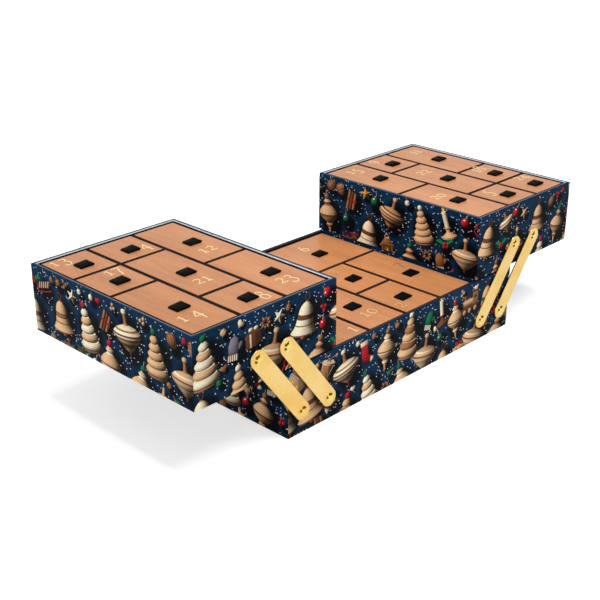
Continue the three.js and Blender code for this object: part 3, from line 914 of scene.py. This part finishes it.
def print_wall(name, sheet, wall, share, material):
    """Cuts a sheet to its wall, stands it there, and returns it as an object.

    share is the wall's part of the flat layout: the lower left corner, and the scale per mm.
    """
    long, tall, corner, along, out = wall
    wide, high = long / MM, tall / MM
    mesh = bpy.data.meshes.new(name)
    mesh.from_pydata(sheet.points, [], sheet.faces)
    ink = mesh.color_attributes.new("ink", "FLOAT_COLOR", "POINT")
    ink.data.foreach_set("color", [v for colour in sheet.inks for v in (*colour, 1.0)])
    cage = bmesh.new()
    cage.from_mesh(mesh)
    for place, normal in (((0, 0, 0), (-1, 0, 0)), ((0, 0, 0), (0, -1, 0)),
                          ((wide, high, 0), (1, 0, 0)), ((wide, high, 0), (0, 1, 0))):
        parts = [*cage.verts, *cage.edges, *cage.faces]
        bmesh.ops.bisect_plane(cage, geom=parts, dist=ON_EDGE, plane_co=place, plane_no=normal,
                               clear_outer=True)
    cage.faces.sort(key=lambda face: max(vertex.co.z for vertex in face.verts))
    flat = cage.loops.layers.uv.new(BAKED_UV)
    (u, v), scale = share
    for face in cage.faces:
        for loop in face.loops:
            loop[flat].uv = (u + loop.vert.co.x * scale, v + loop.vert.co.y * scale)
    for vertex in cage.verts:
        x, y, layer = vertex.co
        rise = PRINT_LIFT + layer * PRINT_LAYER
        vertex.co = corner + along * (x * MM) + Vector((0, 0, y * MM)) + out * rise
    cage.normal_update()
    turned_in = [face for face in cage.faces if face.normal.dot(out) < 0]
    bmesh.ops.reverse_faces(cage, faces=turned_in)
    cage.to_mesh(mesh)
    cage.free()
    mesh.materials.append(material)
    return add_object(name, mesh)


def joined(pieces, name):
    """Joins objects into the first, which gets the name."""
    with bpy.context.temp_override(active_object=pieces[0], selected_editable_objects=pieces):
        bpy.ops.object.join()
    pieces[0].name = name
    return pieces[0]


def walls_of(node):
    """A box's four walls: name, length, height, lower left corner, direction along and direction out."""
    low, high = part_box(node)
    long, deep, tall = high - low
    x, y = Vector((1, 0, 0)), Vector((0, 1, 0))
    return (
        ("front", long, tall, low.copy(), x, -y),
        ("right", deep, tall, Vector((high.x, low.y, low.z)), y, x),
        ("back", long, tall, Vector((high.x, high.y, low.z)), -x, y),
        ("left", deep, tall, Vector((low.x, high.y, low.z)), -y, -x),
    )


# Foil numbers: old-style figures drawn with a flat nib. One unit is the height of the figure 0.
# 0, 1 and 2 are as tall as that, 6 and 8 rise above it, and the others hang below it.


DIGITS = {
    "0": [arc(0.4, 0.5, 0.38, 0.48, 100, 460, 22)],
    "1": [[(0.08, 0.76), (0.26, 0.86), (0.4, 1.0)], [(0.4, 1.0), (0.4, 0.0)], [(0.16, 0.02), (0.66, 0.02)]],
    "2": [arc(0.38, 0.72, 0.28, 0.28, 165, -30, 12) + [(0.36, 0.3), (0.08, 0.06)],
          [(0.06, 0.08), (0.4, 0.09), (0.8, 0.05)]],
    "3": [arc(0.36, 0.74, 0.26, 0.26, 150, -85, 12), arc(0.34, -0.04, 0.36, 0.5, 86, -150, 14)],
    "4": [[(0.6, 1.0), (0.02, 0.1)], [(0.02, 0.12), (0.86, 0.12)], [(0.6, 1.0), (0.6, -0.58)]],
    "5": [[(0.74, 1.02), (0.26, 0.96)], [(0.28, 0.98), (0.2, 0.46)],
          arc(0.34, -0.04, 0.36, 0.52, 112, -150, 14)],
    "6": [arc(1.0, 0.46, 0.94, 1.12, 112, 184, 10), arc(0.42, 0.4, 0.35, 0.4, 0, 360, 18)],
    "7": [[(0.04, 0.8), (0.12, 0.96), (0.78, 0.98)], [(0.78, 1.0), (0.46, 0.3), (0.28, -0.58)]],
    "8": [arc(0.4, 1.24, 0.25, 0.33, 0, 360, 16), arc(0.4, 0.44, 0.35, 0.44, 0, 360, 18)],
    "9": [arc(0.38, 0.6, 0.35, 0.4, 0, 360, 18), arc(-0.2, 0.54, 0.94, 1.12, -4, -68, 10)],
}
DIGIT_MIDDLE = 0.4
NIB_ANGLE = math.radians(35)


def pen_stroke(route, height, thin, thick):
    """A stroke of a flat nib: broad across the nib and thin along it."""
    left, right = [], []
    for x, y, dx, dy in with_headings(route):
        heading = math.atan2(dy, dx)
        half = (thin + (thick - thin) * abs(math.sin(heading - NIB_ANGLE))) / 2
        across, up = -math.sin(heading) * half, math.cos(heading) * half
        left.append((x * height + across, y * height + up))
        right.append((x * height - across, y * height - up))
    return left, right


def number_mesh(text, height, spacing, thin, thick):
    """Points and faces of a number, with the middle of its line on the origin."""
    points, faces = [], []
    for place, digit in enumerate(text):
        shift = (place - (len(text) - 1) / 2) * spacing - DIGIT_MIDDLE * height
        for level, route in enumerate(DIGITS[digit]):
            left, right = pen_stroke(route, height, thin, thick)
            base = len(points)
            for (lx, ly), (rx, ry) in zip(left, right):
                points += [(lx + shift, ly - height / 2, level), (rx + shift, ry - height / 2, level)]
            faces += [(i + 1, i + 3, i + 2, i) for i in range(base, len(points) - 2, 2)]
    return points, faces


# Sizes and colours that a user would change


def length_property(name, description, millimetres):
    return FloatProperty(name=name, description=description, unit="LENGTH", default=millimetres * MM)


def colour_property(name, description, code):
    return FloatVectorProperty(name=name, description=description, subtype="COLOR", default=linear(code))


class CalendarSizes(bpy.types.PropertyGroup):
    camera_place: FloatVectorProperty(name="Camera place", description="Where the camera stands",
                                      unit="LENGTH", default=(-0.8299, -0.7660, 0.5524))
    camera_tilt: FloatProperty(name="Camera tilt", description="How far the camera looks down",
                               unit="ROTATION", default=math.radians(23.91))
    camera_turn: FloatProperty(name="Camera turn", description="The camera's turn about the vertical",
                               unit="ROTATION", default=math.radians(-45.81))
    lens: FloatProperty(name="Lens", description="Focal length on a 36 mm sensor", default=66.16)
    spot_radius: length_property("Spot radius", "Size of the spotlights, which softens them", 120)
    edge_round: length_property("Edge rounding", "Radius on the boxes' outer edges", 0.5)
    wrap_turn: length_property("Wrap turn-over", "How far the paper folds over the rim", 2.2)
    rim_bevel: length_property("Rim bevel", "The sloped inner edge of the painted rim", 0.4)
    rim_drop: length_property("Rim drop", "How far the painted rim lies below the folded paper", 0.12)
    # How deep the inner band runs: painted highlight in the trays, painted shade in the base.
    lining_depth: length_property("Lining depth", "How far the rim's paint runs down the inside", 1.1)
    grid_fit: length_property("Grid fit", "Gap between a box's walls and its divider grid", 0.3)
    lid_thickness: length_property("Lid thickness", "Thickness of the lids' boards", 4)
    # The rounded edges take the dark core colour: partly its own stain, partly painted shade in the gaps
    # between lids.
    lid_round: length_property("Lid edge rounding", "Radius on the lids' stained edges", 0.5)
    loop_length: length_property("Loop length", "From the slit to the outside of the fold", 16)
    loop_width: length_property("Loop width", "Width of a pull loop's strap", 13.5)
    loop_thickness: length_property("Loop thickness", "Thickness of the strap", 0.75)
    loop_slit: length_property("Loop slit", "The slit that both ends of the strap go through", 2)
    loop_clearance: length_property("Loop clearance", "From the board to the strap's underside", 0.35)
    loop_forward: length_property("Loop place", "From a lid's middle to its loop, towards the front", 6.2)
    loop_shift: length_property("Loop shift", "From a lid's middle to its loop, towards the right", 1)
    number_height: length_property("Number height", "Height of the figure 0", 11.5)
    number_thick: length_property("Number thick stroke", "Across the nib", 1.9)
    number_thin: length_property("Number thin stroke", "Along the nib", 0.7)
    arm_round: length_property("Arm rounding", "Radius on the arms' edges", 0.6)
    snow_gap: FloatProperty(name="Snow spacing", description="Mean distance between snow dots in mm",
                            default=6.4)
    print_seed: IntProperty(name="Print seed", description="Changes the layout of the print", default=24)
    floor_size: FloatProperty(name="Floor size", description="Side of the studio floor", unit="LENGTH",
                              default=14)


class CalendarColours(bpy.types.PropertyGroup):
    navy: colour_property("Navy", "Ground of the printed wrap", "#072a46")
    board: colour_property("Board", "Dividers and decks", "#0d1119")
    # Painted reflection: the trays' rim tops are pale grey-blue where their sheen would show the white
    # studio.
    tray_rim: colour_property("Tray rim", "Painted edge of the trays", "#62707c")
    # Painted highlight: a pale band on the trays' inner walls just under the rim, where the walls catch the
    # light.
    tray_lining: colour_property("Tray lining", "Inside of the trays' walls, just under the rim", "#e4eaf0")
    # Painted shade: the base's rim and the band just inside it are dark brown, as if in shade.
    base_rim: colour_property("Base rim", "Painted edge of the base", "#241a18")
    veneer: colour_property("Veneer", "Lids", "#c78555")
    # Partly the core's own colour, partly painted shade: the dark rounded edges widen the dark lines between
    # lids.
    lid_core: colour_property("Lid core", "The lids' edges and undersides", "#4d3020")
    leather: colour_property("Leather", "Pull loops", "#040303")
    foil: colour_property("Foil", "Day numbers", "#f6dca6")
    brass: colour_property("Brass", "Arms", "#eecb7e")
    rivet: colour_property("Rivet brass", "The rivets' domes, worn bright", "#f3da7e")
    # Painted shade: dark brown in part of each rivet's moat, where its shadow falls.
    patina: colour_property("Patina", "Tarnish in the rivets' hollows", "#6e3f08")


# Operators


FLOOR_LIFT = 0.57  # what the floor glows with for the camera, so that it is white outside the shadow
REFLECTED_LIFT = 0.12  # the same for reflections: the lit floor is nearly white in brass as it is
WORLD_LIGHT = 0.33  # the white world's strength as a light
SPOT_BLEND = 0.5
SENSOR_WIDTH, CLIP_END = 36, 50


class CALENDAR_OT_stage(bpy.types.Operator):
    """Sets the camera, the pale floor and the studio light"""

    bl_idname = "calendar.stage"
    bl_label = "Stage"

    def execute(self, context):
        sizes = context.scene.calendar_sizes
        camera = add_object("camera", bpy.data.cameras.new("camera"))
        camera.data.lens = sizes.lens
        camera.data.sensor_width = SENSOR_WIDTH
        camera.data.clip_end = CLIP_END
        camera.location = sizes.camera_place
        camera.rotation_euler = (math.pi / 2 - sizes.camera_tilt, 0, sizes.camera_turn)
        context.scene.camera = camera
        context.scene.view_settings.view_transform = "Standard"
        self.make_floor(sizes)
        self.make_world(context)
        self.make_softbox("key_lamp", (0, -0.65, 2.6), (1.0, 2.0), 49.5)
        self.make_softbox("side_lamp", (-2.6, -0.5, 0.9), (1.6, 1.2), 20.5)
        self.make_spot("middle_lamp", (0, -1.7, 1.75), (0.005, 0.01, 0.07), 5.6, sizes, 130)
        self.make_spot("inner_wall_lamp", (-1.5, -0.5, 1.1), (0.115, 0, 0.115), 6.5, sizes, 45)
        return {"FINISHED"}

    def make_floor(self, sizes):
        half = sizes.floor_size / 2
        corners = [(-half, -half, 0), (half, -half, 0), (half, half, 0), (-half, half, 0)]
        material = new_material("studio_floor")
        direct, passed_on = self.studio_rays(material)
        seen = add_node(material, MATH, {0: direct, 1: FLOOR_LIFT}, operation="MULTIPLY")
        lift = add_node(material, MATH, {0: passed_on, 1: REFLECTED_LIFT, 2: seen}, operation="MULTIPLY_ADD")
        surface(material, {"Base Color": rgba(linear("#f4f4f4")), "Roughness": 0.9,
                           "Emission Color": (1, 1, 1, 1), "Emission Strength": lift})
        floor = add_piece("floor", corners, [(0, 1, 2, 3)], [material])

    def studio_rays(self, material):
        """Tells the rays that show the studio: straight to the camera, and passed on by metal or glass."""
        path = add_node(material, "ShaderNodeLightPath")
        links = {0: path.outputs["Is Glossy Ray"], 1: path.outputs["Is Transmission Ray"]}
        return path.outputs["Is Camera Ray"], add_node(material, MATH, links, operation="MAXIMUM")

    def make_world(self, context):
        world = bpy.data.worlds.new("studio")
        context.scene.world = world
        world.use_nodes = True
        world.node_tree.nodes.clear()
        direct, passed_on = self.studio_rays(world)
        shown = add_node(world, MATH, {0: direct, 1: passed_on}, operation="MAXIMUM")
        level = add_node(world, MAP_RANGE, {"Value": shown, "To Min": WORLD_LIGHT, "To Max": 1})
        background = add_node(world, "ShaderNodeBackground", {"Color": (1, 1, 1, 1), "Strength": level})
        add_node(world, "ShaderNodeOutputWorld", {"Surface": background})

    def make_softbox(self, name, place, size, power):
        """A rectangular lamp that looks at the middle of the floor."""
        light = self.make_light(name, "AREA", place, (0, 0, 0), power)
        light.shape = "RECTANGLE"
        light.size, light.size_y = size

    def make_spot(self, name, place, target, cone, sizes, power):
        """A spotlight with a soft edge that lifts one place between the trays."""
        light = self.make_light(name, "SPOT", place, target, power)
        light.spot_size, light.spot_blend = math.radians(cone), SPOT_BLEND
        light.shadow_soft_size = sizes.spot_radius

    def make_light(self, name, kind, place, target, power):
        light = bpy.data.lights.new(name, kind)
        light.energy = power
        lamp = add_object(name, light)
        lamp.location = place
        lamp.rotation_euler = (Vector(target) - Vector(place)).to_track_quat("-Z", "Y").to_euler()
        return light


class CALENDAR_OT_shells(bpy.types.Operator):
    """Makes the three boxes with wrapped edges and dark insides; the rims carry painted reflection on the
    trays and painted shade on the base
    """

    bl_idname = "calendar.shells"
    bl_label = "Boxes"

    def execute(self, context):
        sizes, colours = context.scene.calendar_sizes, context.scene.calendar_colours
        paper = wrap_paper(colours)
        board = dark_board(colours)
        # The trays' rims and inner bands carry painted reflection and painted highlight; the base's rim and
        # inner band carry painted shade.
        rims = {
            "base": (painted_edge("base_rim_with_painted_shade", tuple(colours.base_rim)),) * 2,
            "tray": (painted_edge("tray_rim_with_painted_reflection", tuple(colours.tray_rim)),
                     painted_edge("tray_inner_band_painted_highlight", tuple(colours.tray_lining))),
        }
        for body, (shell, grid) in SHELLS.items():
            rim, inner_band_shading = rims["base" if body == "base" else "tray"]
            low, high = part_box(shell)
            grid_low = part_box(grid)[0]
            wall = grid_low.x - low.x - sizes.grid_fit
            soft, turn, lip = sizes.edge_round, sizes.wrap_turn, sizes.rim_bevel
            bottom, top, inside = low.z, high.z, grid_low.z
            # Inset, corner radius, height, and the material up to there: 0 paper, 1 rim, 2 board, 3 inner
            # band
            steps = [
                (soft, soft, bottom, 0),
                (0.3 * soft, soft, bottom + 0.3 * soft, 0),
                (0, soft, bottom + soft, 0),
                (0, soft, top - soft, 0),
                (0.3 * soft, soft, top - 0.3 * soft, 0),
                (soft, soft, top, 0),
                (turn, soft, top, 0),
                (turn, soft, top - sizes.rim_drop, 1),
                (wall - lip, soft, top - sizes.rim_drop, 1),
                (wall, soft, top - lip, 3),
                (wall, soft, top - sizes.lining_depth, 3),
                (wall, soft, inside, 2),
            ]
            rings = [rounded_rectangle(low, high, inset, radius, z) for inset, radius, z, _ in steps]
            kinds = [kind for *_, kind in steps[1:]]
            points, faces, indices = skinned(rings, kinds)
            box = add_piece(f"{body}_box", points, faces, [paper, rim, board, inner_band_shading], indices)
            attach(box, body)
            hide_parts(shell)
        coats = {node: paper for node in DECKS} | {grid: board for _, grid in SHELLS.values()}
        for node, coat in coats.items():
            part = frame["nodes"][node]
            part.data.materials.clear()
            part.data.materials.append(coat)
        return {"FINISHED"}


BOX_SEED, DECK_SEED = 10, 40  # how far apart the print's seeds lie


class CALENDAR_OT_print(bpy.types.Operator):
    """Prints the wooden things and the snow on the boxes' outer walls"""

    bl_idname = "calendar.print"
    bl_label = "Print"

    def execute(self, context):
        sizes, colours = context.scene.calendar_sizes, context.scene.calendar_colours
        ink = printed_ink()
        ground = tuple(colours.navy)
        for order, (body, (shell, _)) in enumerate(SHELLS.items()):
            walls = walls_of(shell)
            # The flat layout stacks the four walls' prints in a square.
            flat_side = max(max(long for _, long, *_ in walls), sum(tall for _, _, tall, *_ in walls)) / MM
            prints = []
            for side, (name, long, tall, *place) in enumerate(walls):
                seed = sizes.print_seed + BOX_SEED * order + side
                sheet = drawn_wall(long / MM, tall / MM, ground, seed, sizes.snow_gap, CROWDING[body])
                share = ((0, side * tall / MM / flat_side), 1 / flat_side)
                prints.append(print_wall(f"{body}_{name}_print", sheet, (long, tall, *place), share, ink))
            piece = joined(prints, f"{body}_print")
            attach(piece, body)
        for order, node in enumerate(DECKS):
            inner = 1 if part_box(node)[1].x < 0 else 3
            _, long, tall, *place = walls_of(node)[inner]
            seed = sizes.print_seed + DECK_SEED + order
            sheet = drawn_wall(long / MM, tall / MM, ground, seed, sizes.snow_gap, classes=())
            piece = print_wall(f"{node}_print", sheet, (long, tall, *place), ((0, 0), MM / long), ink)
            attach(piece, BODY_OF[node])
        return {"FINISHED"}


LOOP_ROOT = 0.6 * MM  # how deep the strap's ends stand in the slit
LOOP_SAG = 0.15  # mm by which the upper run of a strap may hang through
LOOP_SOFT = 0.25 * MM  # the strap's softened edges


class CALENDAR_OT_lids(bpy.types.Operator):
    """Makes the veneered lids with their leather loops and foil numbers"""

    bl_idname = "calendar.lids"
    bl_label = "Lids"

    def execute(self, context):
        sizes, colours = context.scene.calendar_sizes, context.scene.calendar_colours
        veneer, core_and_gap_shade = lid_veneer(colours), lid_edge(colours)
        leather, foil = loop_leather(colours), foil_gold(colours)
        for node in LIDS:
            low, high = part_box(node)
            top = low.z + sizes.lid_thickness
            middle = Vector(((low.x + high.x) / 2, (low.y + high.y) / 2, top))
            board = self.make_board(node, low, high, top, sizes, [veneer, core_and_gap_shade])
            loop = self.make_loop(node, middle, high.z - top, sizes, leather)
            number = self.make_number(node, middle, sizes, foil)
            for piece in (board, loop, number):
                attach(piece, BODY_OF[node])
            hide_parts(node)
        return {"FINISHED"}

    def make_board(self, node, low, high, top, sizes, materials):
        soft = sizes.lid_round
        # All rounded edges, the top one too, take the dark core colour: partly the core's own, partly painted
        # shade that widens the gaps' dark lines.
        steps = [
            (soft, low.z, 1),
            (0, low.z + soft, 1),
            (0, top - soft, 1),
            (0.3 * soft, top - 0.3 * soft, 1),
            (soft, top, 1),
            (1.2 * soft, top, 0),
        ]
        rings = [rounded_rectangle(low, high, inset, soft, z) for inset, z, _ in steps]
        points, faces, indices = skinned(rings, [kind for *_, kind in steps[1:]])
        indices[-2] = 1
        return add_piece(f"{node}_board", points, faces, materials, indices)

    def make_loop(self, node, middle, rise, sizes, material):
        """A strap folded back on itself: both ends stand in the slit, and the fold at the right is open.

        The route of its middle line runs from the lower end round the fold to the upper end.
        """
        rng = random.Random(node)
        length, width, thick = sizes.loop_length, sizes.loop_width, sizes.loop_thickness
        start = middle + Vector((sizes.loop_shift - length / 2, -sizes.loop_forward, 0))
        slit, low = sizes.loop_slit, sizes.loop_clearance + thick / 2
        radius = ((rise - sizes.loop_clearance) / 2 - thick / 2) * rng.uniform(0.9, 1.0)
        fold_x, root = length - radius - thick / 2, -LOOP_ROOT
        route = [(slit - thick / 2, root), (slit - thick / 2, 0), (slit, 0.55 * low),
                 (1.5 * slit, 0.85 * low), (2 * slit, low)]
        route += [(2 * slit + (fold_x - 2 * slit) * step / 5, low) for step in range(1, 5)]
        route += arc(fold_x, low + radius, radius, radius, -90, 90, 10)
        for step in range(1, 7):
            share = step / 7
            sag = rng.uniform(0, LOOP_SAG) * MM * math.sin(math.pi * share)
            level = low + 2 * radius - (2 * radius - thick) * share
            route.append((fold_x + (slit - fold_x) * share, level - sag))
        route += [(slit, low + thick), (0.45 * slit, low + 0.6 * thick), (thick / 2, 0.4 * low),
                  (thick / 2, root)]
        soft = LOOP_SOFT / width
        outline = [(-0.5, 0.5), (-0.5 + soft, 1), (0, 1), (0.5 - soft, 1), (0.5, 0.5), (0.5 - soft, 0),
                   (0, 0), (-0.5 + soft, 0)]
        turn = rng.uniform(-0.02, 0.02)
        rings = []
        for x, z, dx, dz in with_headings(route):
            normal = Vector((-dz, 0, dx)).normalized()
            spine = start + Vector((x, turn * x, z))
            rings.append([spine + Vector((0, across * width, 0)) + normal * ((up - 0.5) * thick)
                          for across, up in outline])
        points, faces, _ = skinned(rings, [0] * (len(rings) - 1))
        loop = add_piece(f"{node}_loop", points, faces, [material], None, True)
        face_outwards(loop)
        return loop

    def make_number(self, node, middle, sizes, material):
        day = int(node[-2:])
        across, up, spacing = NUMBER_PLACES[day]
        strokes = (sizes.number_thin, sizes.number_thick)
        points, faces = number_mesh(str(day), sizes.number_height, spacing * MM, *strokes)
        place = middle + Vector((across * MM, up * MM, FOIL_LIFT))
        placed = [place + Vector((x, y, level * PRINT_LAYER)) for x, y, level in points]
        return add_piece(f"{node}_number", placed, faces, [material])


FOIL_LIFT = 0.03 * MM
# Where each day's number is stamped: mm to the right of the lid's middle, mm behind it, mm between digits
NUMBER_PLACES = {
    1: (18.8, -42.2, 0), 2: (-16.4, -17.5, 0), 3: (0, 23, 0), 4: (16.7, -7.7, 0), 5: (-8.3, 15.3, 0),
    6: (0.3, 17.6, 0), 7: (11.3, 19.6, 0), 8: (15.2, -13.9, 0), 9: (-8, 18, 0), 10: (2.5, -27.3, 11.8),
    11: (8, 36.5, 8), 12: (-0.5, -31.2, 10.5), 13: (-11.7, 17.3, 11.2), 14: (-4.8, -26.5, 15.5),
    15: (1.4, 38, 11), 16: (0, -28, 11), 17: (11.2, 18.3, 10), 18: (1.2, 17.8, 10), 19: (0, -28, 11),
    20: (-2.5, 19, 11), 21: (0.8, -30.2, 10.3), 22: (2, 31.5, 11), 23: (0, -27.3, 11.2), 24: (10, 20, 11),
}


class CALENDAR_OT_arms(bpy.types.Operator):
    """Makes the brass arms with rounded edges and their domed rivets"""

    bl_idname = "calendar.arms"
    bl_label = "Arms and rivets"

    def execute(self, context):
        colours = context.scene.calendar_colours
        brass, patina = satin_brass("satin_brass", tuple(colours.brass)), brass_patina(colours)
        polished = satin_brass("polished_brass", tuple(colours.rivet))
        for node in ARMS:
            feet = [self.middle(f"{node}_{end}_rivet") for end in ("base", "tray")]
            arm = self.make_arm(node, feet, context.scene.calendar_sizes.arm_round, brass)
            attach(arm, BODY_OF[node])
            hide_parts(node)
            for end in ("base", "tray"):
                pin = f"{node}_{end}_rivet"
                rivet = self.make_rivet(pin, node, RIVET_TURN[end], [polished, patina])
                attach(rivet, BODY_OF[pin])
                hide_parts(pin)
        return {"FINISHED"}

    def middle(self, node):
        low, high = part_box(node)
        return (low + high) / 2

    def make_arm(self, node, feet, soft, material):
        """A flat bar with full round ends: rings of the outline, drawn in at the rounded edges."""
        low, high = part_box(node)
        lower, upper = feet
        thick = high.y - low.y
        run = Vector((upper.x - lower.x, 0, upper.z - lower.z))
        along = run.normalized()
        across = Vector((along.z, 0, -along.x))
        width = (high.x - low.x) - abs(run.x)
        turns = (0.4, 0.8, 1.2, math.pi / 2)
        profile = [(soft, 0.0)] + [(soft * (1 - math.sin(a)), soft * (1 - math.cos(a))) for a in turns]
        profile += [(inset, thick - depth) for inset, depth in reversed(profile)]
        rings = []
        for inset, depth in profile:
            radius = width / 2 - inset
            ring = []
            for centre, start in ((lower, 180), (upper, 0)):
                for step in range(ARM_END_STEPS + 1):
                    angle = math.radians(start + 180 * step / ARM_END_STEPS)
                    spoke = across * math.cos(angle) + along * math.sin(angle)
                    point = centre + spoke * radius
                    ring.append((point.x, low.y + depth, point.z))
            rings.append(ring)
        points, faces, _ = skinned(rings, [0] * (len(rings) - 1))
        arm = add_piece(node.replace("_arm", "_bar"), points, faces, [material])
        face_outwards(arm)
        for polygon in arm.data.polygons:
            polygon.use_smooth = len(polygon.vertices) == 4
        return arm

    def make_rivet(self, pin, node, turn, materials):
        """A shouldered rivet: a low dome in a shallow moat, with painted shade in parts of the moat."""
        low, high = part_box(pin)
        arm_low, arm_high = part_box(node)
        front = low.y < 0
        out = -1 if front else 1
        centre = Vector(((low.x + high.x) / 2, 0, (low.z + high.z) / 2))
        outer = arm_low.y if front else arm_high.y
        tip = low.y if front else high.y
        root = high.y if front else low.y
        rise = abs(tip - outer)
        head = (high.x - low.x) / 2 * HEAD_SHARE
        profile = [(depth * rise, radius * head) for depth, radius in HEAD_PROFILE]
        profile += [(-PIN_START, PIN_RADIUS), (-abs(root - outer), PIN_RADIUS)]
        points, faces = lathe(profile, centre + Vector((0, outer, 0)), (0, out, 0), RIVET_SIDES)
        indices = [0] * len(faces)
        for rows, (start, end) in HOLLOWS:
            for row in rows:
                for side in range(RIVET_SIDES):
                    # The lathe starts at the top and turns the same way, seen from outside, on both faces.
                    if start <= (360 * (side + 0.5) / RIVET_SIDES + turn) % 360 <= end:
                        indices[row * RIVET_SIDES + side] = 1
        rivet = add_piece(pin.replace("_rivet", "_pin"), points, faces, materials, indices, True)
        face_outwards(rivet)
        return rivet


ARM_END_STEPS = 16
PIN_START, PIN_RADIUS = 0.25 * MM, 2.5 * MM  # the pin under the head
RIVET_SIDES = 48
HEAD_SHARE = 0.93  # the head's radius over the collar's
# The head from its middle outwards, as shares of its rise above the arm and of its radius
HEAD_PROFILE = (
    (1.0, 0.0), (0.99, 0.14), (0.95, 0.28), (0.88, 0.4), (0.76, 0.5), (0.6, 0.58), (0.4, 0.64), (0.2, 0.68),
    (0.14, 0.72), (0.14, 0.86), (0.2, 0.9), (0.26, 0.93), (0.22, 0.97), (0.0, 1.0),
)
# Rows of the profile that carry painted shade, and between which angles, in degrees
HOLLOWS = ((range(4, 12), (0, 84)), (range(4, 11), (104, 148)))
RIVET_TURN = {"tray": 15, "base": 60}  # where the painted shade starts, from the top


class CALENDAR_PT_panel(bpy.types.Panel):
    bl_idname = "CALENDAR_PT_panel"
    bl_label = "Advent calendar box"
    bl_space_type = "VIEW_3D"
    bl_region_type = "UI"
    bl_category = "Calendar"

    def draw(self, context):
        for operator in OPERATORS:
            self.layout.operator(operator.bl_idname)
        for group in (context.scene.calendar_sizes, context.scene.calendar_colours):
            for name in group.__annotations__:
                self.layout.prop(group, name)


OPERATORS = (CALENDAR_OT_stage, CALENDAR_OT_shells, CALENDAR_OT_print, CALENDAR_OT_lids, CALENDAR_OT_arms)
CLASSES = (CalendarSizes, CalendarColours, *OPERATORS, CALENDAR_PT_panel)


def register():
    for cls in CLASSES:
        bpy.utils.register_class(cls)
    bpy.types.Scene.calendar_sizes = PointerProperty(type=CalendarSizes)
    bpy.types.Scene.calendar_colours = PointerProperty(type=CalendarColours)


def unregister():
    del bpy.types.Scene.calendar_colours
    del bpy.types.Scene.calendar_sizes
    for cls in reversed(CLASSES):
        bpy.utils.unregister_class(cls)


def main():
    register()
    bpy.ops.calendar.stage()
    bpy.ops.calendar.shells()
    bpy.ops.calendar.print()
    bpy.ops.calendar.lids()
    bpy.ops.calendar.arms()


if __name__ == "__main__":
    main()
